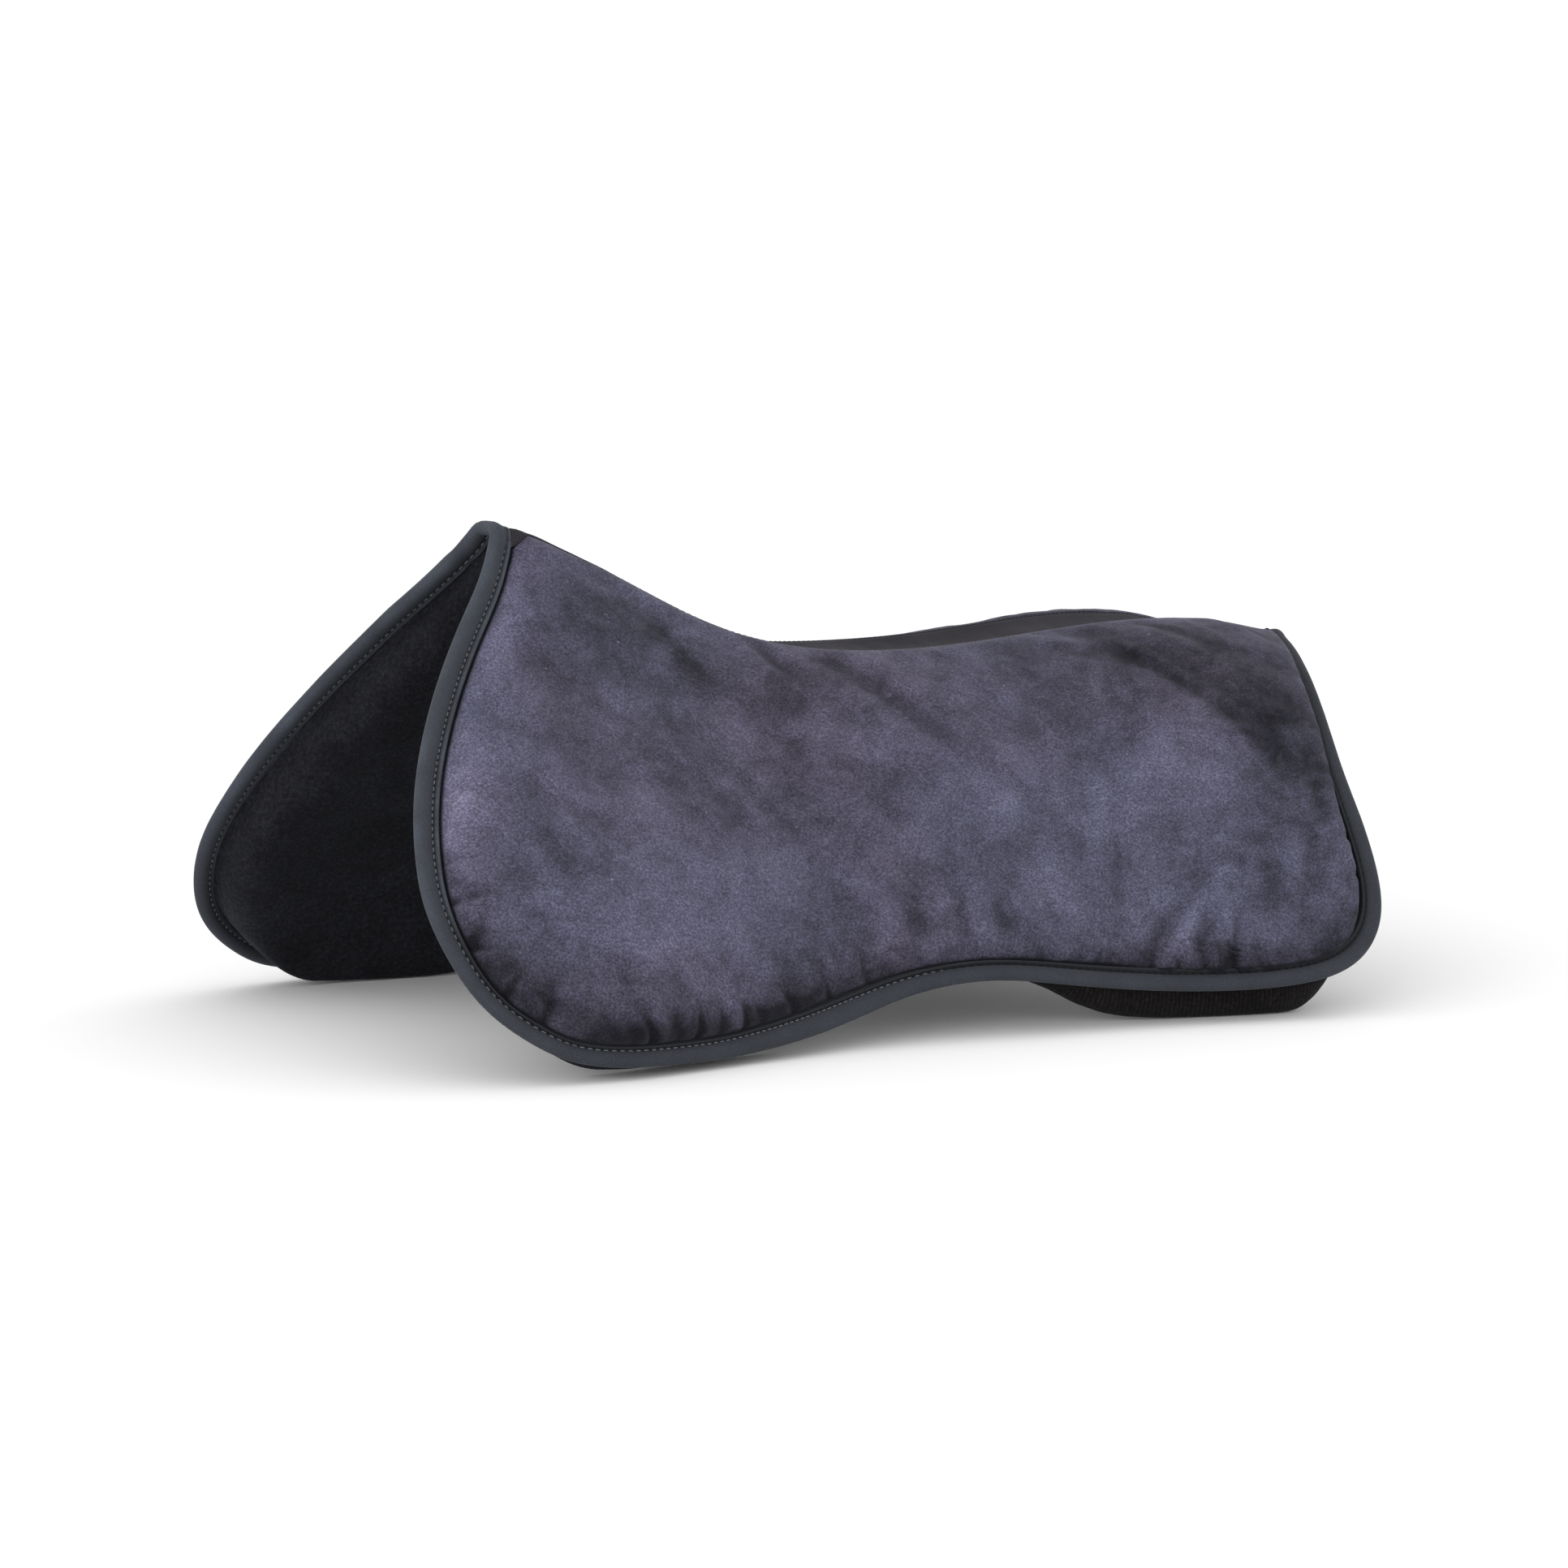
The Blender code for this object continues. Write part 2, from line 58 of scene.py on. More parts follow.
SEAM_HALF_WIDTH = (0.0113, 0.0044, 0.0196, 0.0374, 0.0331, 0.0354, 0.0405)
SEAM_HEIGHT = (0.2580, 0.2360, 0.2008, 0.1871, 0.1887, 0.1960, 0.1867)
SLOPE_X = (-0.3025, -0.1925, -0.0725, 0.0675, 0.1875, 0.3275)
SLOPE_B = (0.0, 0.08, 0.16, 0.24, 0.32)
SLOPE = (
    (76, 63, 52, 53, 76),
    (66, 53.5, 44.5, 57, 86),
    (49, 48.5, 51, 61.5, 78),
    (34, 45, 53, 58, 66.5),
    (23, 39.5, 51, 55, 60),
    (14.5, 33, 47.5, 55, 58),
)
CUT = (
    (-0.1925, 0.0),
    (-0.2005, 0.018),
    (-0.2235, 0.057),
    (-0.2475, 0.098),
    (-0.2665, 0.136),
    (-0.2815, 0.174),
    (-0.2905, 0.208),
    (-0.2935, 0.231),
    (-0.2915, 0.254),
    (-0.2775, 0.286),
    (-0.2585, 0.301),
    (-0.2425, 0.308),
    (-0.2165, 0.310),
    (-0.1905, 0.307),
    (-0.1515, 0.297),
    (-0.1115, 0.274),
    (-0.0715, 0.242),
    (-0.0335, 0.218),
    (0.0025, 0.211),
    (0.0375, 0.217),
    (0.0825, 0.231),
    (0.1265, 0.245),
    (0.1695, 0.254),
    (0.1995, 0.252),
    (0.2205, 0.239),
    (0.2325, 0.221),
    (0.2395, 0.197),
    (0.2475, 0.143),
    (0.2565, 0.106),
    (0.2735, 0.055),
    (0.2875, 0.020),
    (0.2935, 0.0),
)
STRIP_X = (-0.2025, -0.1325, -0.0625, 0.0175, 0.3075)
STRIP_RISE = (-0.0002, 0.0006, -0.0010, -0.0050, -0.0060)
FULL_X = (-0.2025, -0.0825, 0.0675, 0.3075)
FULL_B = (0.125, 0.110, 0.055, 0.045)
LOIN_SHARE, LOIN_X, LOIN_B = 0.36, (0.0, 0.10), (0.10, 0.20)
WITHERS_SPANS = ((-0.06, -0.10), (-0.276, -0.216), (0.235, 0.275))
LOIN_SPANS = ((0.022, 0.080), (0.229, 0.170), (0.170, 0.225))
TAPE_WIDTH = 0.0120


def second_derivatives(knots):
    n, h = len(knots), np.diff(knots)
    a, b = np.eye(n), np.zeros((n, n))
    for i in range(1, n - 1):
        a[i, i - 1], a[i, i], a[i, i + 1] = h[i - 1], 2 * (h[i - 1] + h[i]), h[i]
        b[i, i - 1], b[i, i + 1] = 6 / h[i - 1], 6 / h[i]
        b[i, i] = -6 / h[i - 1] - 6 / h[i]
    return np.linalg.solve(a, b)


class Spline:
    """A natural cubic spline over fixed knots, level with its end values outside them."""

    def __init__(self, knots):
        self.knots = np.asarray(knots, float)
        self.curve = second_derivatives(self.knots)

    def weights(self, x):
        k, x = self.knots, np.asarray(x, float)
        i = np.clip(np.searchsorted(k, x) - 1, 0, len(k) - 2)
        h = k[i + 1] - k[i]
        t = (np.clip(x, k[0], k[-1]) - k[i]) / h
        w = np.zeros(x.shape + (len(k),))
        at = tuple(np.indices(x.shape))
        w[at + (i,)] += 1 - t
        w[at + (i + 1,)] += t
        low = ((1 - t) ** 3 - (1 - t)) * h * h / 6
        high = (t**3 - t) * h * h / 6
        return w + low[..., None] * self.curve[i] + high[..., None] * self.curve[i + 1]

    def __call__(self, values, x):
        return self.weights(x) @ np.asarray(values, float)


SEAM, SLOPES_X, SLOPES_B = Spline(SEAM_X), Spline(SLOPE_X), Spline(SLOPE_B)
TABLE = np.asarray(SLOPE, float)
NODES, SHARES = np.polynomial.legendre.leggauss(12)


def seam_line(x):
    x = np.asarray(x, float)
    step = 1e-4
    start, end = SEAM_X[0], SEAM_X[-1]
    ends = SEAM(SEAM_HEIGHT, np.array([start, start + step, end - step, end]))
    height = SEAM(SEAM_HEIGHT, x)
    height = height + np.minimum(x - start, 0) * (ends[1] - ends[0]) / step
    height = height + np.maximum(x - end, 0) * (ends[3] - ends[2]) / step
    # the half-width is levelled past its ends, so it is averaged over 24 mm to leave no kink there
    width = 0.0
    for k, share in ((-2, 1), (-1, 4), (0, 6), (1, 4), (2, 1)):
        width = width + share / 16 * SEAM(SEAM_HALF_WIDTH, x + 0.006 * k)
    return width, height


def hang(x, b):
    x, b = np.broadcast_arrays(np.asarray(x, float), np.asarray(b, float))
    across = SLOPES_X.weights(x) @ TABLE
    along = b[..., None] * (NODES + 1) / 2
    slope = np.radians(
        np.einsum("...qk,...k->...q", SLOPES_B.weights(np.clip(along, 0, None)), across)
    )
    out = (np.cos(slope) * SHARES).sum(-1) * b / 2
    down = (np.sin(slope) * SHARES).sum(-1) * b / 2
    width, height = seam_line(x)
    return np.stack([x, -(width + out), height - down], -1)


def strip_rise(x):
    return Spline(STRIP_X)(STRIP_RISE, x)


def surface(x, b):
    """hang() carried on over the strip, where b is below nought, and past its middle."""
    x, b = np.broadcast_arrays(np.asarray(x, float), np.asarray(b, float))
    width, height = seam_line(x)
    on = hang(x, np.maximum(b, 0))
    share = np.clip((width + b) / width, -1, 1)
    strip = np.stack(
        [x, -share * width, height + strip_rise(x) * (1 - share**2)], -1
    )
    return np.where((b < 0)[..., None], strip, on)


def normals_of(form, x, b, step):
    along = form(x + step, b) - form(x - step, b)
    across = form(x, b + step) - form(x, b - step)
    normal = np.cross(across, along)
    return normal / np.maximum(np.linalg.norm(normal, axis=-1, keepdims=True), 1e-12)


def lift(x, b, h, form=hang, step=5e-4):
    x, b = np.broadcast_arrays(np.asarray(x, float), np.asarray(b, float))
    normal = normals_of(form, x, b, step)
    return form(x, b) + np.asarray(h, float)[..., None] * normal


def eased(value, start, end):
    t = np.clip((value - start) / (end - start), 0, 1)
    return t * t * (3 - 2 * t)


def near_seam(x, b):
    full = np.interp(x, FULL_X, FULL_B)
    return np.sin(np.pi / 2 * np.clip(b / full, 0, 1))


def lining_depth(x, b, depth, least):
    fuller = 1 + LOIN_SHARE * eased(x, *LOIN_X) * eased(b, *LOIN_B)
    return least + (depth * fuller - least) * near_seam(x, b)


def smooth_cut(count=3600):
    points = np.array(CUT)
    length = np.concatenate(
        [[0], np.cumsum(np.linalg.norm(np.diff(points, axis=0), axis=1))]
    )
    spline = Spline(length)
    at = np.linspace(0, length[-1], count)
    return np.stack([spline(points[:, i], at) for i in (0, 1)], -1)


CUT_LINE = smooth_cut()
CUT_AT = np.concatenate(
    [[0], np.cumsum(np.linalg.norm(np.diff(CUT_LINE, axis=0), axis=1))]
)
EDGE_TREE = KDTree(len(CUT_LINE))
for i, p in enumerate(CUT_LINE):
    EDGE_TREE.insert((p[0], p[1], 0), i)
EDGE_TREE.balance()


def place_on_edge(x, b):
    """How far along the bound edge a point lies, how far in from it, and the way in."""
    s, d, way = np.empty(len(x)), np.empty(len(x)), np.zeros((len(x), 2))
    for k in range(len(x)):
        near, i, far = EDGE_TREE.find((x[k], b[k], 0))
        s[k], d[k] = CUT_AT[i], far
        way[k] = (x[k] - near.x, b[k] - near.y)
    return s, d, way / np.maximum(d, 1e-9)[:, None]


def at_edge(x, b):
    return float(place_on_edge(np.array([x]), np.array([b]))[0][0])


# ---------------------------------------------------------------- small tools
def lattice_noise(u, v, seed):
    """Smooth noise from -1 to 1 over a lattice of unit cells."""
    turn = np.random.default_rng(seed).random((128, 128)) * 2 * np.pi
    gx, gy = np.cos(turn), np.sin(turn)
    i, j = np.floor(u).astype(int), np.floor(v).astype(int)
    fu, fv = u - i, v - j
    a = fu**3 * (fu * (6 * fu - 15) + 10)
    c = fv**3 * (fv * (6 * fv - 15) + 10)
    value = 0
    for di, wi in ((0, 1 - a), (1, a)):
        for dj, wj in ((0, 1 - c), (1, c)):
            ii, jj = (i + di) % 128, (j + dj) % 128
            value = value + wi * wj * (gx[ii, jj] * (fu - di) + gy[ii, jj] * (fv - dj))
    return value * 1.5


def bell(d, width):
    return np.exp(-((d / width) ** 2))


def smooth_down(values, sigma, spacing, axis=0):
    """Values smoothed along an axis whose steps are spacing, mirrored or not by the caller."""
    reach = int(np.ceil(3 * sigma / spacing))
    kernel = np.exp(-0.5 * (np.arange(-reach, reach + 1) * spacing / sigma) ** 2)
    kernel /= kernel.sum()
    pad = [(0, 0)] * values.ndim
    pad[axis] = (reach, reach)
    wide = np.pad(values, pad, mode="edge")
    return np.apply_along_axis(lambda q: np.convolve(q, kernel, "valid"), axis, wide)


def line_distance(x, b, line):
    """Distance from a polyline, the side it lies on, and the share of its length."""
    line = np.asarray(line, float)
    best = np.full(len(x), 1e9)
    side, share = np.zeros(len(x)), np.zeros(len(x))
    lengths = np.linalg.norm(np.diff(line, axis=0), axis=1)
    total, done = lengths.sum(), 0.0
    for k in range(len(line) - 1):
        p, q = line[k], line[k + 1]
        t = np.clip(
            ((x - p[0]) * (q[0] - p[0]) + (b - p[1]) * (q[1] - p[1])) / lengths[k] ** 2, 0, 1
        )
        dx, db = x - (p[0] + t * (q[0] - p[0])), b - (p[1] + t * (q[1] - p[1]))
        d = np.hypot(dx, db)
        near = d < best
        best = np.where(near, d, best)
        turn = (q[0] - p[0]) * db - (q[1] - p[1]) * dx
        side = np.where(near, np.sign(turn), side)
        share = np.where(near, (done + t * lengths[k]) / total, share)
        done += lengths[k]
    return best, side, share


def curve_through(points, count=24):
    points = np.asarray(points, float)
    length = np.concatenate([[0], np.cumsum(np.linalg.norm(np.diff(points, axis=0), axis=1))])
    spline = Spline(length)
    at = np.linspace(0, length[-1], count)
    return np.stack([spline(points[:, i], at) for i in (0, 1)], -1)


# ---------------------------------------------------------------- creases, folds and puckers
# Each pucker is where the cover is gathered into the edge: a place on the cut, its half-width,
# how far it runs in, and its depth.
PUCKERS = (
    ((-0.2740, 0.210), 0.0030, 0.016, 0.0012),
    ((-0.2900, 0.231), 0.0042, 0.021, 0.0021),
    ((-0.2890, 0.258), 0.0038, 0.017, 0.0018),
    ((-0.2740, 0.285), 0.0034, 0.014, 0.0015),
    ((-0.2560, 0.300), 0.0042, 0.016, 0.0010),
    ((-0.2290, 0.309), 0.0050, 0.018, 0.0006),
    ((-0.2060, 0.309), 0.0034, 0.015, 0.0008),
    ((-0.1950, 0.308), 0.0040, 0.020, 0.0022),
    ((-0.1800, 0.305), 0.0036, 0.016, 0.0007),
    ((-0.1680, 0.302), 0.0034, 0.015, 0.0014),
    ((-0.1530, 0.298), 0.0042, 0.017, 0.0007),
    ((-0.1360, 0.290), 0.0036, 0.014, 0.0012),
    ((-0.1230, 0.282), 0.0040, 0.017, 0.0007),
    ((-0.1020, 0.267), 0.0044, 0.015, 0.0011),
    ((-0.0800, 0.249), 0.0040, 0.014, 0.0009),
    ((-0.0560, 0.232), 0.0040, 0.016, 0.0010),
    ((0.0500, 0.221), 0.0040, 0.013, 0.0008),
    ((0.0900, 0.234), 0.0044, 0.016, 0.0012),
    ((0.1050, 0.239), 0.0036, 0.014, 0.0014),
    ((0.1200, 0.243), 0.0034, 0.013, 0.0012),
    ((0.1330, 0.246), 0.0040, 0.016, 0.0014),
    ((0.1500, 0.250), 0.0040, 0.013, 0.0009),
    ((0.2380, 0.205), 0.0040, 0.012, 0.0009),
    ((0.2400, 0.180), 0.0038, 0.012, 0.0009),
    ((0.2480, 0.140), 0.0040, 0.012, 0.0008),
    ((-0.2540, 0.110), 0.0040, 0.012, 0.0006),
)
PUCKER_AT = [at_edge(*place) for place, _, _, _ in PUCKERS]

# Each fold is a soft valley or ridge along a line of the cut: its points, its half-width, and
# its height, below nought for a valley. A positive lean makes the far side the steeper one.
FOLDS = (
    (((0.140, 0.014), (0.165, 0.045), (0.188, 0.075), (0.203, 0.112), (0.211, 0.150)), 0.0120, -0.0019, 0.5),
    (((0.152, 0.020), (0.177, 0.050), (0.196, 0.083), (0.205, 0.105)), 0.0040, 0.0008, 0.0),
    (((0.183, 0.006), (0.202, 0.035), (0.219, 0.060)), 0.0050, -0.0009, 0.4),
    (((0.120, 0.003), (0.145, 0.012), (0.170, 0.022)), 0.0060, -0.0008, 0.0),
    (((-0.055, 0.001), (-0.048, 0.016), (-0.038, 0.030)), 0.0060, -0.0013, 0.3),
    (((-0.022, 0.001), (-0.002, 0.029), (0.016, 0.050), (0.030, 0.085)), 0.0090, -0.0015, 0.2),
    (((0.001, 0.135), (-0.003, 0.169), (-0.010, 0.200)), 0.0052, -0.0013, 0.0),
    (((-0.018, 0.150), (-0.026, 0.176), (-0.038, 0.203)), 0.0060, -0.0010, 0.0),
    (((0.020, 0.160), (0.016, 0.185), (0.012, 0.202)), 0.0050, -0.0008, 0.0),
    (((0.082, 0.228), (0.103, 0.212), (0.126, 0.196), (0.144, 0.176)), 0.0060, -0.0016, 0.4),
    (((0.112, 0.234), (0.124, 0.216), (0.138, 0.204)), 0.0050, -0.0013, 0.0),
    (((0.166, 0.212), (0.176, 0.190), (0.178, 0.168)), 0.0070, -0.0013, 0.0),
    (((0.190, 0.215), (0.202, 0.190), (0.208, 0.168)), 0.0065, -0.0012, 0.2),
    (((0.215, 0.175), (0.222, 0.150), (0.226, 0.120)), 0.0055, -0.0010, 0.0),
    (((0.151, 0.206), (0.143, 0.222), (0.138, 0.238)), 0.0019, -0.0013, 0.0),
    (((-0.215, 0.060), (-0.190, 0.085), (-0.168, 0.120)), 0.0150, -0.0009, 0.0),
    (((-0.120, 0.010), (-0.105, 0.040), (-0.085, 0.065)), 0.0140, -0.0010, 0.0),
)
FOLD_LINES = [curve_through(points) for points, _, _, _ in FOLDS]


def creases(x, b, s, d, seed):
    """How far the cover stands off its smooth form, and how much its colour is painted darker there: painted shade in
    puckers and fold valleys, painted highlight on fold ridges.
    """
    h, dark = np.zeros(len(x)), np.zeros(len(x))
    for (_, width, reach, depth), s0 in zip(PUCKERS, PUCKER_AT):
        off = s - s0
        near = np.abs(off) < 6 * width + 0.01
        lean = 0.35 * (d - 0.012) * (1 if int(s0 * 1e4) % 2 else -1)
        wide = 0.62 * width * (1 + (d - 0.012) / 0.030)
        run = np.exp(-((np.clip(d - 0.012, 0, None) / (0.85 * reach)) ** 1.5))
        dip = -bell(off - lean, wide) + 0.40 * (
            bell(off - lean - 2.1 * wide, 1.1 * wide) + bell(off - lean + 2.1 * wide, 1.1 * wide)
        )
        h += np.where(near, 1.5 * depth * dip * run, 0)
        # painted shade down in the pucker, a little painted highlight on its sides
        dark += np.where(near, depth / 0.0020 * (0.9 * bell(off - lean, 0.9 * wide) - 0.18 * bell(off - lean - 2.1 * wide, wide)) * run, 0)
    for (_, width, height, lean), line in zip(FOLDS, FOLD_LINES):
        away, side, share = line_distance(x, b, line)
        ends = np.sin(np.pi * np.clip(share, 0, 1)) ** 0.7
        over = np.where(share <= 0, away, 0) + np.where(share >= 1, away, 0)
        w = width * (1 - lean * 0.5 * side)
        h += 1.15 * height * bell(away, w) * ends
        # painted shade in a fold's valley, painted highlight on its ridge
        dark += -0.85 * height / 0.0020 * bell(away - 0.15 * w, 0.8 * w) * ends
        h += -0.45 * height * bell(away - 1.9 * width, 0.9 * width) * ends * bell(over, width)
    # broad unevenness of the foam, then finer rumples that grow towards the edges
    h += 0.00070 * lattice_noise(x / 0.075 + 7.3, b / 0.075 + 3.1, seed)
    h += 0.00035 * lattice_noise(x / 0.034 + 1.7, b / 0.030 + 9.2, seed + 1)
    rumple = 0.35 + 0.65 * np.exp(-np.clip(d - 0.012, 0, None) / 0.030)
    h += 0.00034 * rumple * lattice_noise(x / 0.0150 + 5.5, b / 0.0150 + 2.2, seed + 2)
    h += 0.00010 * lattice_noise(x / 0.0062 + 3.5, b / 0.0062 + 8.2, seed + 3)
    gather = np.exp(-np.clip(d - 0.012, 0, None) / 0.006)
    h += 0.00045 * gather * lattice_noise(s / 0.0080, 0 * s + 0.5, seed + 4)
    h += 0.00022 * gather * lattice_noise(s / 0.0034, 0 * s + 0.5, seed + 5)
    quiet = eased(d, 0.0117, 0.0128) * eased(b, 0.0, 0.006)
    return h * quiet, dark * eased(b, 0.0, 0.006)


# ---------------------------------------------------------------- loops and cores of the cut
TANGENT = np.gradient(CUT_LINE, axis=0)
TANGENT /= np.linalg.norm(TANGENT, axis=1, keepdims=True)
INWARD = np.stack([TANGENT[:, 1], -TANGENT[:, 0]], -1)


def corner(x):
    """How far down the seam drops at the withers end, where the strip widens to meet the tape."""
    t = np.clip(1 - (x - (CUT[0][0] + 0.0105)) / 0.0105, 0, 1.15)
    return 0.0090 * t


def ring(edge_inset, seam_inset, edge_count, seam_count, at_withers=None, cut_corner=0.0):
    start = seam_inset if at_withers is None else at_withers
    line = CUT_LINE + edge_inset * INWARD

    def lowest(x):
        straight = np.interp(x, (CUT[0][0], CUT[-1][0]), (start, seam_inset))
        return straight + cut_corner * corner(x)

    limit = lowest(line[:, 0])
    past = line[:, 1] - limit
    kept = np.flatnonzero(past > 0)
    first, last = kept[0], kept[-1]
    ends = []
    for a, c in ((first - 1, first), (last, last + 1)):
        if 0 <= a and c < len(line):
            ends.append(line[a] + (line[c] - line[a]) * past[a] / (past[a] - past[c]))
        else:
            n = first if a < 0 else last
            ends.append(np.array([line[n, 0], limit[n]]))
    line = np.concatenate([[ends[0]], line[first : last + 1], [ends[1]]])
    length = np.concatenate([[0], np.cumsum(np.linalg.norm(np.diff(line, axis=0), axis=1))])
    at = np.linspace(0, length[-1], edge_count)
    edge = np.stack([np.interp(at, length, line[:, i]) for i in (0, 1)], -1)
    share = np.linspace(0, 1, seam_count + 2)[1:-1]
    if cut_corner:  # closer together towards the corner
        share = share + 0.12 * np.sin(np.pi * share) * share
    x = edge[-1, 0] + (edge[0, 0] - edge[-1, 0]) * share
    ends = edge[-1, 1] - lowest(edge[-1, 0]), edge[0, 1] - lowest(edge[0, 0])
    b = lowest(x) + ends[0] + (ends[1] - ends[0]) * share
    return np.concatenate([edge, np.stack([x, b], -1)])


def core_mesh(loop, grid, band=None):
    """Points and faces that fill a loop; with a band, twice as far apart past that far in."""
    low, high = loop.min(0), loop.max(0)
    rows, sparse = [], []
    row_step = grid * 0.87
    for j in range(int((high[1] - low[1]) / row_step) + 1):
        x = np.arange(low[0] + 0.5 * (j % 2) * grid, high[0], grid)
        rows.append(np.stack([x, np.full(len(x), low[1] + (j + 0.5) * row_step)], -1))
        sparse.append((np.arange(len(x)) % 2 == (j % 4 == 2)) & (j % 2 == 0))
    p, sparse = np.concatenate(rows), np.concatenate(sparse)
    a, c = loop, np.roll(loop, -1, axis=0)
    inside = np.zeros(len(p), int)
    for (ax, ay), (cx, cy) in zip(a, c):
        if ay == cy:
            continue
        crossing = (ay > p[:, 1]) != (cy > p[:, 1])
        at = ax + (p[:, 1] - ay) * (cx - ax) / (cy - ay)
        inside += crossing & (at > p[:, 0])
    p, sparse = p[inside % 2 == 1], sparse[inside % 2 == 1]
    tree = KDTree(len(loop))
    for i, q in enumerate(loop):
        tree.insert((q[0], q[1], 0), i)
    tree.balance()
    away = np.array([tree.find((q[0], q[1], 0))[2] for q in p])
    p = p[(away > 0.6 * grid) & (sparse | (away < (band or 1e9)))]
    _, _, faces, _, _, _ = delaunay_2d_cdt(
        [Vector(q) for q in np.concatenate([loop, p])], [], [list(range(len(loop)))], 1, 1e-7
    )
    return p, [tuple(f) for f in faces]


def ring_faces(rings, loop, core_faces):
    faces = []
    for j in range(rings - 1):
        a, b = j * loop, (j + 1) * loop
        for k in range(loop):
            n = (k + 1) % loop
            faces.append((a + k, b + k, b + n, a + n))
    base = (rings - 1) * loop
    return faces + [tuple(base + i for i in f) for f in core_faces]


def point_normals(points, faces):
    total = np.zeros_like(points)
    for size in (3, 4):
        f = np.array([q for q in faces if len(q) == size])
        if not len(f):
            continue
        p = points[f]
        n = np.cross(p[:, 2] - p[:, 0], p[:, -1] - p[:, 1] if size == 4 else p[:, 1] - p[:, 0])
        if size == 3:
            n = -n
        for k in range(size):
            np.add.at(total, f[:, k], n)
    return total / np.maximum(np.linalg.norm(total, axis=1, keepdims=True), 1e-12)


def shell(points, faces, thickness, loop, flat):
    """A closed cloth: the faces given, the same again on the back, and a rim round ring 0."""
    normals = point_normals(points, faces)
    count = len(points)
    back = points - thickness * normals
    closed = list(faces) + [tuple(count + i for i in f[::-1]) for f in faces]
    first = list(faces[0])
    forward = first[(first.index(0) + 1) % len(first)] == 1
    for k in range(loop):
        n = (k + 1) % loop
        a, c = (n, k) if forward else (k, n)
        closed.append((a, c, count + c, count + a))
    return np.concatenate([points, back]), closed, np.concatenate([flat, flat])


def leaning(points, side):
    """Both loin corners droop, and the right half stands fuller near the withers, as it lies."""
    x, y = points[:, 0], -points[:, 1]
    droop = 0.0042 * eased(x, 0.235, 0.2935) * eased(y, 0.010, 0.034) * eased(y, 0.120, 0.060)
    points = points - droop[:, None] * np.array([0, 0, 1])
    if side < 0:
        return points
    reach = np.interp(y, (-0.012, 0.0, 0.012, 0.022, 0.040, 0.062, 0.085, 0.110, 0.140), (0, 0, 0.0005, 0.0026, 0.0050, 0.0046, 0.0030, 0.0014, 0))
    reach = reach * eased(x, -0.10, -0.165)
    return points + reach[:, None] * np.array([0, -0.8, 0.6])


def mirrored(points, faces, side):
    if side < 0:
        return points, faces
    return points * np.array([1, -1, 1]), [f[::-1] for f in faces]


def build(name, points, faces, finish, flat=None, fields=None, split=False):
    mesh = bpy.data.meshes.new(name)
    mesh.from_pydata([tuple(p) for p in points], [], [list(map(int, f)) for f in faces])
    mesh.materials.append(finish)
    if flat is not None:
        layer = mesh.uv_layers.new(name="flat")
        index = np.empty(len(mesh.loops), int)
        mesh.loops.foreach_get("vertex_index", index)
        layer.uv.foreach_set("vector", np.asarray(flat, np.float32)[index].ravel())
    for key, values in (fields or {}).items():
        made = mesh.attributes.new(key, "FLOAT", "POINT")
        made.data.foreach_set("value", np.asarray(values, np.float32))
    mesh.shade_smooth()
    mesh.validate()
    mesh.update()
    if split:  # a piece's two halves meet at the middle of the spine, with no rounded end there
        ends = np.empty(len(mesh.edges) * 2, int)
        mesh.edges.foreach_get("vertices", ends)
        across = np.abs(np.asarray(points)[ends.reshape(-1, 2), 1]) < 1e-9
        sharp = mesh.attributes.new("sharp_edge", "BOOLEAN", "EDGE")
        sharp.data.foreach_set("value", across.all(1))
    obj = bpy.data.objects.new(name, mesh)
    bpy.context.scene.collection.objects.link(obj)
    return obj


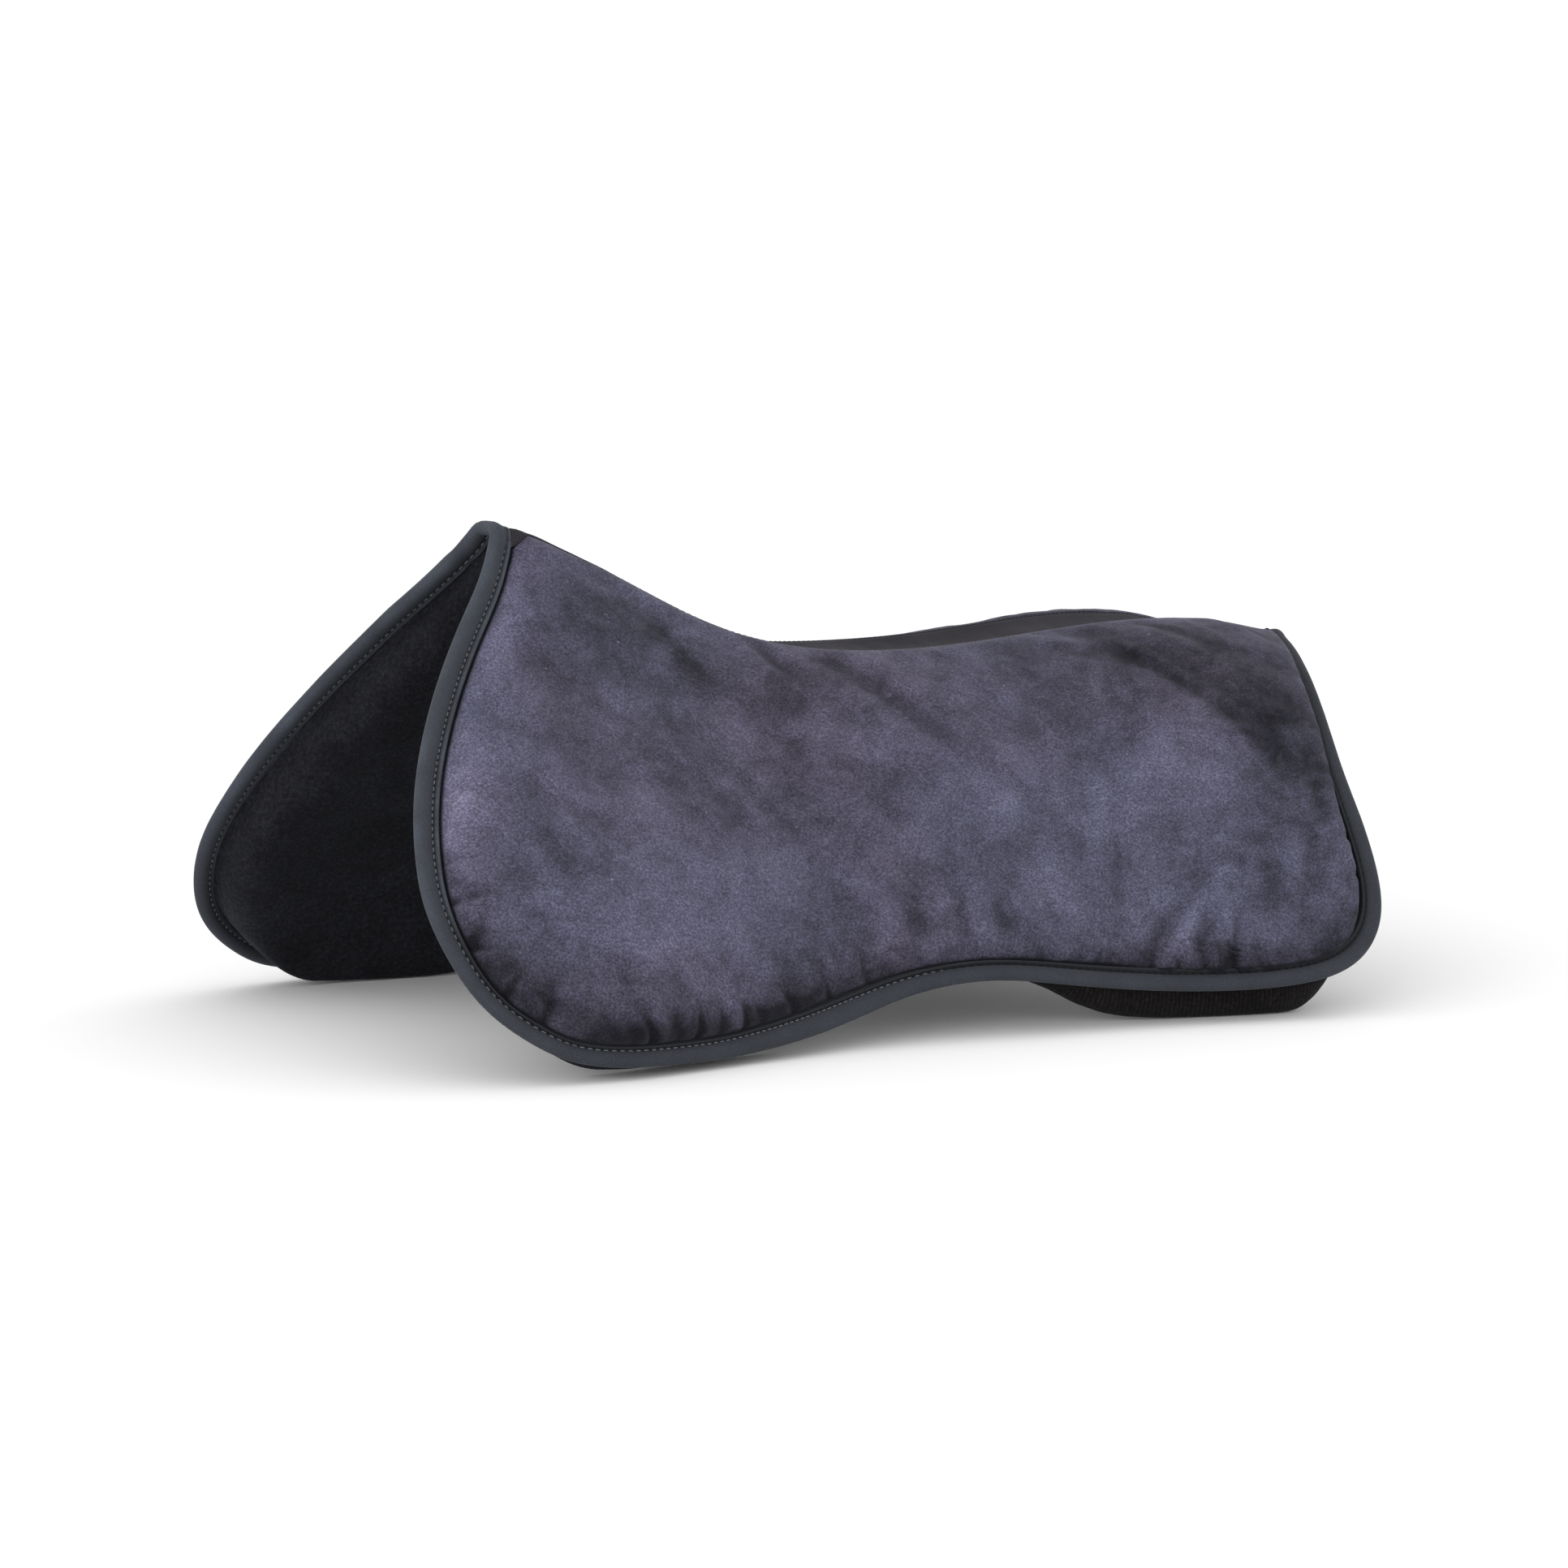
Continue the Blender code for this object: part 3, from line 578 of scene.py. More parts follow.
# ---------------------------------------------------------------- materials
class Nodes:
    """Short names for making a material's nodes."""

    def __init__(self, name):
        self.made = bpy.data.materials.new(name)
        self.made.use_nodes = True
        self.tree = self.made.node_tree
        self.shader = self.tree.nodes["Principled BSDF"]

    def add(self, kind, settings=None, **values):
        node = self.tree.nodes.new(kind)
        for key, value in (settings or {}).items():
            setattr(node, key, value)
        for key, value in values.items():
            self.plug(value, node.inputs[key.replace("_", " ")])
        return node

    def plug(self, value, socket):
        if isinstance(value, bpy.types.NodeSocket):
            self.tree.links.new(value, socket)
        else:
            socket.default_value = value

    def place(self, scale=1.0):
        """Object coordinates in metres, scaled."""
        at = self.add("ShaderNodeTexCoord").outputs["Object"]
        return self.add("ShaderNodeVectorMath", {"operation": "SCALE"}, Vector=at, Scale=scale).outputs[0]

    def noise(self, scale, detail=2.0, rough=0.5, at=None, distortion=0.0):
        node = self.add(
            "ShaderNodeTexNoise",
            Scale=scale,
            Detail=detail,
            Roughness=rough,
            Distortion=distortion,
        )
        if at is not None:
            self.plug(at, node.inputs["Vector"])
        return node.outputs["Fac"]

    def field(self, name):
        return self.add(
            "ShaderNodeAttribute", {"attribute_name": name, "attribute_type": "GEOMETRY"}
        ).outputs["Fac"]

    def ramp(self, value, stops):
        node = self.add("ShaderNodeValToRGB", Fac=value)
        ramp = node.color_ramp
        while len(ramp.elements) < len(stops):
            ramp.elements.new(0.5)
        for element, (at, colour) in zip(ramp.elements, stops):
            element.position = at
            element.color = (*colour, 1) if len(colour) == 3 else colour
        return node.outputs["Color"]

    def map(self, value, low, high, to_low, to_high):
        node = self.add("ShaderNodeMapRange", {"clamp": True})
        for key, v in zip(("Value", "From Min", "From Max", "To Min", "To Max"), (value, low, high, to_low, to_high)):
            self.plug(v, node.inputs[key])
        return node.outputs["Result"]

    def math(self, operation, a, b=0.0, clamp=False):
        node = self.add("ShaderNodeMath", {"operation": operation, "use_clamp": clamp})
        self.plug(a, node.inputs[0])
        self.plug(b, node.inputs[1])
        return node.outputs[0]

    def mix(self, share, a, b, blend="MIX"):
        node = self.add("ShaderNodeMix", {"data_type": "RGBA", "blend_type": blend})
        self.plug(share, node.inputs[0])
        for value, socket in ((a, node.inputs[6]), (b, node.inputs[7])):
            self.plug((*value, 1) if isinstance(value, tuple) and len(value) == 3 else value, socket)
        return node.outputs[2]

    def bump(self, height, strength, distance, under=None):
        node = self.add("ShaderNodeBump", Height=height, Strength=strength, Distance=distance)
        if under is not None:
            self.plug(under, node.inputs["Normal"])
        return node.outputs["Normal"]

    def finish(self, colour, roughness, normal=None, sheen=0.0, sheen_tint=(1, 1, 1), sheen_rough=0.5, specular=0.3):
        s = self.shader.inputs
        self.plug(colour, s["Base Color"])
        self.plug(roughness, s["Roughness"])
        s["Specular IOR Level"].default_value = specular
        s["Sheen Weight"].default_value = sheen
        s["Sheen Roughness"].default_value = sheen_rough
        s["Sheen Tint"].default_value = (*sheen_tint, 1)
        if normal is not None:
            self.plug(normal, s["Normal"])
        return self.made


def suede_finish():
    n = Nodes("micro_suede")
    at = n.place()
    # the nap lies this way and that in soft cloudy patches
    cloud = n.noise(10.0, 4.0, 0.55, at, 0.5)
    patch = n.noise(26.0, 5.0, 0.60, at, 0.8)
    streak = n.noise(75.0, 4.0, 0.62, at, 1.0)
    tint = n.noise(7.0, 2.0, 0.5, at, 0.4)
    speck = n.noise(820.0, 2.0, 0.7, at)
    fine = n.noise(1900.0, 2.0, 0.6, at)
    nap_with_painted_light = n.math("ADD", n.math("MULTIPLY", n.map(cloud, 0.3, 0.7, 0, 1), 0.22), n.math("MULTIPLY", n.map(patch, 0.3, 0.7, 0, 1), 0.28))
    nap_with_painted_light = n.math("ADD", nap_with_painted_light, n.math("MULTIPLY", n.map(streak, 0.3, 0.7, 0, 1), 0.20))
    nap_with_painted_light = n.math("ADD", nap_with_painted_light, 0.11)
    # the field brings the nap's brushing together with painted highlight and painted shade
    nap_with_painted_light = n.math("ADD", nap_with_painted_light, n.math("MULTIPLY", n.field("nap_with_painted_light"), 0.80), clamp=True)
    colour = n.ramp(
        nap_with_painted_light,
        (
            (0.00, (0.0060, 0.0060, 0.0085)),
            (0.12, (0.0170, 0.0160, 0.0225)),
            (0.28, (0.0355, 0.0333, 0.0480)),
            (0.46, (0.0585, 0.0548, 0.0810)),
            (0.66, (0.0830, 0.0782, 0.1160)),
            (0.84, (0.1100, 0.1045, 0.1560)),
            (1.00, (0.1520, 0.1450, 0.2100)),
        ),
    )
    colour = n.mix(n.map(tint, 0.35, 0.65, 0.0, 0.45), colour, n.mix(1.0, colour, (0.88, 1.01, 1.10), "MULTIPLY"))
    colour = n.mix(n.map(tint, 0.60, 0.38, 0.0, 0.30), colour, n.mix(1.0, colour, (1.10, 0.95, 1.02), "MULTIPLY"))
    grain = n.ramp(speck, ((0.30, (0.44, 0.44, 0.44)), (0.50, (1.0, 1.0, 1.0)), (0.70, (1.85, 1.85, 1.88))))
    colour = n.mix(0.85, colour, grain, "MULTIPLY")
    grain2 = n.ramp(fine, ((0.30, (0.74, 0.74, 0.74)), (0.70, (1.28, 1.28, 1.28))))
    colour = n.mix(0.8, colour, grain2, "MULTIPLY")
    # a few specks of lint
    cell = n.add("ShaderNodeTexVoronoi", {"feature": "F1"}, Scale=95.0)
    n.plug(at, cell.inputs["Vector"])
    lint = n.math("MULTIPLY", n.map(cell.outputs["Distance"], 0.050, 0.030, 0, 1), n.map(n.noise(60.0, 1.0, 0.5, at), 0.54, 0.60, 0, 0.75))
    colour = n.mix(lint, colour, (0.26, 0.26, 0.31))
    normal = n.bump(speck, 0.40, 0.00028)
    normal = n.bump(n.noise(260.0, 3.0, 0.6, at, 0.5), 0.22, 0.0005, normal)
    rough = n.map(patch, 0.3, 0.7, 0.97, 0.86)
    return n.finish(colour, rough, normal, 0.12, (0.70, 0.68, 0.84), 0.5, 0.12)


def lining_finish():
    n = Nodes("brushed_lining")
    at = n.place()
    soft = n.noise(30.0, 4.0, 0.6, at, 0.5)
    pile = n.noise(480.0, 3.0, 0.68, at, 0.5)
    fuzz = n.noise(1500.0, 2.0, 0.6, at)
    uv = n.add("ShaderNodeUVMap", {"uv_map": "flat"}).outputs[0]
    ribs = n.add("ShaderNodeTexWave", {"wave_type": "BANDS", "bands_direction": "X", "wave_profile": "SIN"}, Scale=14.0, Distortion=1.6, Detail=2.0)
    n.plug(uv, ribs.inputs["Vector"])
    ribs.inputs["Detail Scale"].default_value = 1.5
    wall = n.field("wall")
    colour = n.ramp(soft, ((0.3, (0.0075, 0.0076, 0.0098)), (0.7, (0.0135, 0.0140, 0.0175))))
    colour = n.mix(wall, colour, n.ramp(soft, ((0.3, (0.0065, 0.0056, 0.0056)), (0.7, (0.0110, 0.0096, 0.0094)))))
    colour = n.mix(0.85, colour, n.ramp(pile, ((0.28, (0.40, 0.40, 0.40)), (0.50, (1, 1, 1)), (0.74, (2.1, 2.1, 2.15)))), "MULTIPLY")
    colour = n.mix(0.5, colour, n.ramp(fuzz, ((0.30, (0.6, 0.6, 0.6)), (0.72, (1.5, 1.5, 1.5)))), "MULTIPLY")
    colour = n.mix(n.math("MULTIPLY", wall, 0.6), colour, n.ramp(ribs.outputs["Fac"], ((0.2, (0.50, 0.50, 0.50)), (0.8, (1.40, 1.36, 1.36)))), "MULTIPLY")
    normal = n.bump(pile, 0.55, 0.0006)
    normal = n.bump(ribs.outputs["Fac"], 0.12, 0.0003, normal)
    return n.finish(colour, 0.95, normal, 0.05, (0.50, 0.54, 0.64), 0.5, 0.08)


def tape_finish(name="edge_tape", tone=(1, 1, 1)):
    n = Nodes(name)
    at = n.place()
    uv = n.add("ShaderNodeUVMap", {"uv_map": "flat"}).outputs[0]

    def waves(direction, scale):
        node = n.add("ShaderNodeTexWave", {"wave_type": "BANDS", "bands_direction": direction, "wave_profile": "SIN"}, Scale=scale, Distortion=0.6, Detail=1.0)
        n.plug(uv, node.inputs["Vector"])
        return node.outputs["Fac"]

    # the map is in millimetres: u runs along the tape and v round it
    weft = waves("X", 0.42)
    warp = waves("Y", 0.50)
    weave = n.math("MULTIPLY", weft, warp)
    worn = n.noise(60.0, 3.0, 0.6, at)
    speck = n.noise(1500.0, 2.0, 0.6, at)
    base = tuple(c * t for c, t in zip((0.0335, 0.0372, 0.0468), tone))
    dark = tuple(c * 0.62 for c in base)
    lit = tuple(c * 1.35 for c in base)
    colour = n.ramp(worn, ((0.30, tuple(c * 0.82 for c in base)), (0.70, tuple(c * 1.14 for c in base))))
    colour = n.mix(0.50, colour, n.ramp(weave, ((0.10, dark), (0.75, lit))))
    # paler along the fold and the hem, partly rubbed wear and partly painted highlight; painted shade down in the
    # stitched groove, in the gap by the cover and where the cover rolls over it
    wear_and_painted_light = n.field("wear_and_painted_light")
    colour = n.mix(n.map(wear_and_painted_light, 0.0, 1.0, 0.0, 0.75), colour, n.mix(1.0, colour, (2.4, 2.5, 2.5), "MULTIPLY"))
    colour = n.mix(n.map(wear_and_painted_light, 0.0, -1.0, 0.0, 0.92), colour, (0.0040, 0.0040, 0.0050))
    colour = n.mix(0.7, colour, n.ramp(speck, ((0.30, (0.66, 0.66, 0.66)), (0.70, (1.38, 1.38, 1.40)))), "MULTIPLY")
    normal = n.bump(weave, 0.30, 0.0002)
    normal = n.bump(speck, 0.25, 0.00015, normal)
    return n.finish(colour, 0.80, normal, 0.08, (0.62, 0.68, 0.78), 0.4, 0.22)


def strip_finish():
    n = Nodes("spine_strip_cloth")
    at = n.place()
    speck = n.noise(1100.0, 2.0, 0.6, at)
    soft = n.noise(40.0, 3.0, 0.55, at)
    twill = n.add("ShaderNodeTexWave", {"wave_type": "BANDS", "bands_direction": "DIAGONAL", "wave_profile": "SIN"}, Scale=190.0, Distortion=0.5, Detail=1.0)
    n.plug(at, twill.inputs["Vector"])
    colour = n.ramp(soft, ((0.3, (0.0155, 0.0142, 0.0175)), (0.7, (0.0240, 0.0218, 0.0270))))
    colour = n.mix(0.6, colour, n.ramp(speck, ((0.3, (0.65, 0.65, 0.65)), (0.7, (1.4, 1.4, 1.4)))), "MULTIPLY")
    colour = n.mix(0.4, colour, n.ramp(twill.outputs["Fac"], ((0.2, (0.75, 0.75, 0.75)), (0.8, (1.2, 1.2, 1.2)))), "MULTIPLY")
    normal = n.bump(twill.outputs["Fac"], 0.2, 0.0002)
    normal = n.bump(speck, 0.25, 0.0002, normal)
    return n.finish(colour, 0.90, normal, 0.06, (0.6, 0.58, 0.64), 0.45, 0.14)


def thread_finish(name, light, dark):
    n = Nodes(name)
    at = n.place()
    ply = n.add("ShaderNodeTexWave", {"wave_type": "BANDS", "bands_direction": "DIAGONAL", "wave_profile": "SIN"}, Scale=520.0, Distortion=0.4, Detail=1.0)
    n.plug(at, ply.inputs["Vector"])
    hair = n.noise(2600.0, 2.0, 0.6, at)
    colour = n.mix(ply.outputs["Fac"], dark, light)
    colour = n.mix(0.4, colour, n.ramp(hair, ((0.3, (0.7, 0.7, 0.7)), (0.7, (1.3, 1.3, 1.3)))), "MULTIPLY")
    normal = n.bump(ply.outputs["Fac"], 0.4, 0.0001)
    return n.finish(colour, 0.62, normal, 0.1, (0.7, 0.72, 0.78), 0.4, 0.4)


def foam_finish():
    n = Nodes("memory_foam")
    at = n.place()
    cells = n.add("ShaderNodeTexVoronoi", {"feature": "DISTANCE_TO_EDGE"}, Scale=900.0)
    n.plug(at, cells.inputs["Vector"])
    tone = n.noise(18.0, 3.0, 0.5, at)
    colour = n.ramp(tone, ((0.3, (0.66, 0.60, 0.40)), (0.7, (0.78, 0.72, 0.52))))
    colour = n.mix(0.5, colour, n.ramp(cells.outputs["Distance"], ((0.0, (0.7, 0.7, 0.7)), (0.25, (1.0, 1.0, 1.0)))), "MULTIPLY")
    return n.finish(colour, 0.92, n.bump(cells.outputs["Distance"], 0.5, 0.0004), 0.0, (1, 1, 1), 0.5, 0.2)


SUEDE_FINISH = suede_finish()
LINING_FINISH = lining_finish()
TAPE_FINISH = tape_finish()
STRIP_FINISH = strip_finish()
THREAD_FINISH = thread_finish("edge_thread", (0.150, 0.160, 0.180), (0.060, 0.064, 0.075))
SEAM_THREAD_FINISH = thread_finish("seam_thread", (0.060, 0.058, 0.070), (0.030, 0.030, 0.036))
FOAM_FINISH = foam_finish()

# ---------------------------------------------------------------- the camera
AZIMUTH, ELEVATION, DISTANCE = math.radians(-31.63), math.radians(6.34), 2.2
TARGET = Vector((-0.0125, 0.0, 0.1134))
back = Vector(
    (
        math.sin(AZIMUTH) * math.cos(ELEVATION),
        -math.cos(AZIMUTH) * math.cos(ELEVATION),
        math.sin(ELEVATION),
    )
)
seen = bpy.data.cameras.new("camera")
seen.sensor_width = 36.0
seen.lens = 36.0 * 5060 / 1932
seen.clip_start, seen.clip_end = 0.05, 60.0
camera = bpy.data.objects.new("camera", seen)
camera.location = TARGET + DISTANCE * back
camera.rotation_mode = "QUATERNION"
camera.rotation_quaternion = (-back).to_track_quat("-Z", "Y")
bpy.context.scene.collection.objects.link(camera)
bpy.context.scene.camera = camera

# ---------------------------------------------------------------- the suede covers
COVER_LOOP = (760, 260)
# Across the bound edge: inset, inset from the seam, and height off the tape's middle.
COVER_RINGS = (
    (0.0107, 0.0002, -0.0014),
    (0.0119, 0.0009, -0.0016),
    (0.0125, 0.0016, -0.0010),
    (0.0128, 0.0024, 0.0003),
    (0.0131, 0.0033, 0.0014),
    (0.0136, 0.0044, 0.0023),
    (0.0144, 0.0058, 0.0032),
    (0.0157, 0.0077, 0.0041),
    (0.0176, 0.0102, 0.0049),
    (0.0202, 0.0134, 0.0056),
    (0.0235, 0.0175, 0.0061),
)
COVER_GRID = 0.0018
BUCKLE = 0.45


def rear_top(x, b):
    """1 beside the upper part of the loin end, where the cover rolls over the tape's hem."""
    return eased(b, 0.185, 0.105) * eased(x, 0.16, 0.22)


def rear_roll(x, b):
    """The same, with the bottom of the loin lobe, where the cover hides the hem too."""
    return np.maximum(rear_top(x, b), 0.9 * eased(x, 0.060, 0.105) * eased(x, 0.222, 0.190) * eased(b, 0.15, 0.20))


def shoulder(x, b):
    """The cloth stands up a little behind the tape at the withers."""
    return 0.0026 * bell(x + 0.170, 0.018) * bell(b - 0.003, 0.020)


# lines of darker or lighter colour, as the points, the half-width and the amount: the two along the lower front edge,
# where the cover curves under, and the short one by a pucker are painted shade
NAP_AND_SHADE_LINES = (
    (((-0.264, 0.266), (-0.249, 0.280), (-0.236, 0.2865), (-0.220, 0.2915), (-0.204, 0.2945)), 0.0065, -0.15),
    (((-0.203, 0.2910), (-0.185, 0.2895), (-0.165, 0.2845), (-0.145, 0.2770), (-0.126, 0.2670)), 0.0060, -0.20),
    (((0.098, 0.220), (0.117, 0.207), (0.137, 0.195), (0.152, 0.185)), 0.0048, 0.17),
    (((-0.274, 0.2495), (-0.279, 0.254), (-0.284, 0.258)), 0.0026, -0.30),
)


def nap_and_painted_light(x, b, s, d):
    """Where the cover's colour is lighter, above nought, or darker: the nap's own mottle, painted highlight along the
    front edge, and painted shade on the top, along the lower edge, along the seam and down into the gap by the tape.
    """
    in_from = np.clip(d - 0.012, 0, None)
    # painted highlight along the front edge, where it faces the light, with the nap brushed lighter there too
    light = 0.52 * bell(b - 0.180, 0.055) * eased(x, -0.15, -0.22) * np.exp(-((in_from / 0.021) ** 2))
    light = light + 0.40 * bell(b - 0.070, 0.075) * eased(x, -0.12, -0.18) * np.exp(-((in_from / 0.024) ** 1.5))
    # patches of nap; the dark ones along the top by the spine and down the loin end, and the small ones by the lower
    # edge's puckers, are painted shade
    for (cx, cb), (wx, wb), amount in (
        ((-0.225, 0.250), (0.040, 0.030), 0.12),
        ((-0.160, 0.235), (0.050, 0.030), 0.08),
        ((-0.215, 0.100), (0.022, 0.055), -0.05),
        ((0.085, 0.110), (0.050, 0.032), 0.15),
        ((0.135, 0.120), (0.040, 0.030), 0.08),
        ((-0.030, 0.160), (0.035, 0.035), 0.06),
        ((0.130, 0.190), (0.035, 0.022), 0.12),
        ((0.190, 0.190), (0.020, 0.016), 0.06),
        ((0.225, 0.110), (0.020, 0.045), -0.34),
        ((0.195, 0.060), (0.040, 0.035), -0.16),
        ((0.145, 0.020), (0.080, 0.020), -0.14),
        ((0.235, 0.050), (0.035, 0.050), -0.16),
        ((0.040, 0.072), (0.050, 0.024), -0.06),
        ((0.000, 0.040), (0.026, 0.018), 0.09),
        ((0.010, 0.110), (0.014, 0.040), -0.08),
        ((0.024, 0.150), (0.012, 0.040), -0.06),
        ((-0.050, 0.035), (0.060, 0.022), -0.12),
        ((-0.120, 0.045), (0.040, 0.022), -0.06),
        ((-0.172, 0.048), (0.030, 0.030), -0.20),
        ((-0.214, 0.068), (0.014, 0.024), 0.14),
        ((-0.020, 0.165), (0.030, 0.030), 0.08),
        ((0.112, 0.214), (0.030, 0.014), 0.24),
        ((0.177, 0.040), (0.030, 0.022), -0.22),
        ((-0.150, 0.080), (0.022, 0.022), -0.06),
        ((-0.090, 0.100), (0.028, 0.020), -0.04),
        ((0.195, 0.160), (0.025, 0.030), -0.14),
        ((0.170, 0.215), (0.018, 0.016), -0.10),
        ((-0.110, 0.130), (0.060, 0.060), -0.02),
        ((-0.1815, 0.2880), (0.0052, 0.0062), -0.08),
        ((-0.1545, 0.2820), (0.0058, 0.0052), -0.12),
        ((-0.1290, 0.2705), (0.0048, 0.0046), -0.28),
        ((-0.1090, 0.2560), (0.0066, 0.0052), -0.28),
        ((0.1290, 0.2220), (0.0085, 0.0105), -0.22),
    ):
        light = light + amount * np.exp(-(((x - cx) / wx) ** 2) - ((b - cb) / wb) ** 2)
    for line, width, amount in NAP_AND_SHADE_LINES:
        away, _, _ = line_distance(x, b, curve_through(line))
        light = light + amount * bell(away, width)
    # painted shade along the lower edge, where the cover curves under, and close beside the tape all round
    low = eased(b, 0.19, 0.225)
    ragged = 1 + 0.45 * lattice_noise(s / 0.012, s * 0 + 0.5, 19)
    light = light - 0.37 * low * ragged * np.exp(-((in_from / (0.0095 + 0.0035 * eased(x, -0.05, -0.12))) ** 1.3))
    light = light - 0.10 * (1 - low) * ragged * np.exp(-in_from / 0.0060)
    # painted shade along the seam with the strip
    light = light - 0.12 * bell(b, 0.006)
    # painted shade where the cover dips into the gap by the tape
    light = light - 0.9 * eased(d, 0.0133, 0.0124)
    return light


def cover_rise(x, b, d, seam):
    edge = np.interp(
        d,
        [r[0] for r in COVER_RINGS] + [0.028, 0.034],
        [r[2] for r in COVER_RINGS] + [0.0065, CROWN],
    )
    over = np.sin(np.pi / 2 * np.clip(b / 0.05, 0, 1))
    crown = np.where(edge > 0, edge * over, edge)
    rolled = 0.0020 * (1 - np.exp(-np.clip(seam, 0, None) / 0.0026)) - 0.0009
    crest = 0.0021 * bell(x - 0.200, 0.055) * bell(b - 0.022, 0.022)
    turned = 0.0031 * rear_roll(x, b) * np.exp(-np.clip(d - 0.0116, 0, None) / 0.0045)
    return crown + (rolled + crest) * eased(d, 0.0118, 0.017) + turned + shoulder(x, b)


def cover_parts():
    loop = sum(COVER_LOOP)
    rings = [ring(i, s, *COVER_LOOP, cut_corner=1.0) for i, s, _ in COVER_RINGS]
    core, core_faces = core_mesh(rings[-1], COVER_GRID, 0.024)
    return np.concatenate([*rings, core]), ring_faces(len(rings), loop, core_faces)


# how far along the tape's path the cut begins
PATH_LEAD = float(seam_line(CUT[0][0])[0])
# where along the path the hem has its full width, then its least, and then its full width again
HEM_SPANS = (0.27, 0.33, 0.62, 0.72)


def narrow_hem(at):
    return np.interp(at, HEM_SPANS, (0, 1, 1, 0))


COVER_FLAT, COVER_FACES = cover_parts()
COVER_S, COVER_D, COVER_WAY = place_on_edge(*COVER_FLAT.T)


def slack_cover(seed):
    """Where the cloth of the cover buckles: it is cut a little larger than the foam under it, sewn
    down all round and pressed outward. Gives heights over the smooth form, one for each point."""
    counts = (260, 120)
    rings = [ring(i, s, *counts, cut_corner=1.0) for i, s in ((0.0126, 0.0020), (0.0150, 0.0065))]
    core, core_faces = core_mesh(rings[-1], 0.0048)
    flat = np.concatenate([*rings, core])
    faces = [f[::-1] for f in ring_faces(2, sum(counts), core_faces)]
    x, b = flat.T
    s, d, _ = place_on_edge(x, b)
    h = cover_rise(x, b, d, b - corner(x))
    start = lift(x, b, h)
    out = lift(x, b, h + 0.001) - start
    out /= np.linalg.norm(out, axis=1, keepdims=True)
    uneven = 0.0004 * lattice_noise(x / 0.021, b / 0.021, seed) + 0.0005 * lattice_noise(s / 0.012, d / 0.045, seed + 1)
    start = start + (uneven * eased(d, 0.0126, 0.018))[:, None] * out
    mesh = bpy.data.meshes.new("slack_cover")
    mesh.from_pydata([tuple(p) for p in start], [], [list(map(int, f)) for f in faces])
    obj = bpy.data.objects.new("slack_cover", mesh)
    bpy.context.scene.collection.objects.link(obj)
    obj.vertex_groups.new(name="sewn").add(list(range(sum(counts))), 1.0, "REPLACE")
    cloth = obj.modifiers.new("cloth", "CLOTH")
    cloth.point_cache.frame_start, cloth.point_cache.frame_end = 1, 20
    c = cloth.settings
    c.quality = 6
    c.mass = 0.25
    c.tension_stiffness = c.compression_stiffness = 18.0
    c.shear_stiffness = 8.0
    c.bending_stiffness = 0.35
    c.air_damping = 4.0
    c.vertex_group_mass = "sewn"
    c.effector_weights.gravity = 0.0
    c.shrink_min = -0.030
    c.use_pressure = True
    c.uniform_pressure_force = 1.2
    scene = bpy.context.scene
    for frame_number in range(1, 21):
        scene.frame_set(frame_number)
    seen_now = obj.evaluated_get(bpy.context.evaluated_depsgraph_get())
    end = np.empty(len(start) * 3, np.float32)
    seen_now.data.vertices.foreach_get("co", end)
    scene.frame_set(1)
    bpy.data.objects.remove(obj)
    bpy.data.meshes.remove(mesh)
    rise = ((end.reshape(-1, 3) - start) * out).sum(1)
    rise = np.clip(np.nan_to_num(rise), -0.006, 0.010)
    # only the buckles are kept: the broad swelling is already in the form
    broad = np.empty(len(rise))
    for k in range(0, len(flat), 500):
        away = ((flat[k : k + 500, None] - flat[None]) ** 2).sum(-1)
        w = np.exp(-away / (2 * 0.013**2))
        broad[k : k + 500] = (w @ rise) / w.sum(1)
    rise = rise - broad
    tree = KDTree(len(flat))
    for i, q in enumerate(flat):
        tree.insert((q[0], q[1], 0), i)
    tree.balance()
    result = np.empty(len(COVER_FLAT))
    for k, q in enumerate(COVER_FLAT):
        near = tree.find_n((q[0], q[1], 0), 6)
        w = np.array([math.exp(-((far / 0.0042) ** 2)) + 1e-9 for _, _, far in near])
        result[k] = (w * rise[[i for _, i, _ in near]]).sum() / w.sum()
    return result


def cover_points(seed):
    x, b = COVER_FLAT.T
    seam = b - corner(x)
    wrinkle, dark = creases(x, b, COVER_S, COVER_D, seed)
    buckle = slack_cover(seed) * eased(COVER_D, 0.0119, 0.0150) * eased(seam, 0.0, 0.010)
    wrinkle = wrinkle + BUCKLE * np.clip(buckle, -0.0016, 0.0016)
    # painted shade where the cloth buckles in, painted highlight where it buckles out
    dark = dark - BUCKLE * 0.24 * np.clip(buckle / 0.001, -1, 1)
    h = cover_rise(x, b, COVER_D, seam) + wrinkle
    over = np.maximum(0.0031 * rear_roll(x, b), 0.0015 * narrow_hem(COVER_S + PATH_LEAD))
    over = over * np.exp(-np.clip(COVER_D - 0.0125, 0, None) / 0.0055)
    moved = COVER_FLAT - COVER_WAY * over[:, None]
    return lift(moved[:, 0], np.maximum(moved[:, 1], 0), h), dark


def add_cover(side, word):
    points, dark = cover_points(11 if side < 0 else 47)
    width = seam_line(points[:, 0])[0]
    points[:, 1] = np.minimum(points[:, 1], -(width - 0.0016))
    points = leaning(points, side)
    # the painted shade and painted highlight of the creases and buckles go into the colour here
    nap_with_painted_light = nap_and_painted_light(*COVER_FLAT.T, COVER_S, COVER_D) - 0.45 * dark
    flip = [f[::-1] for f in COVER_FACES]
    points, faces, flat = shell(points, flip, 0.0011, sum(COVER_LOOP), COVER_FLAT)
    points, faces = mirrored(points, faces, side)
    obj = build("suede_panel_" + word, points, faces, SUEDE_FINISH, flat * 10, {"nap_with_painted_light": np.tile(nap_with_painted_light, 2)})
    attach(obj, word + "_half")
    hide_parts("suede_cover_" + word)
    return obj


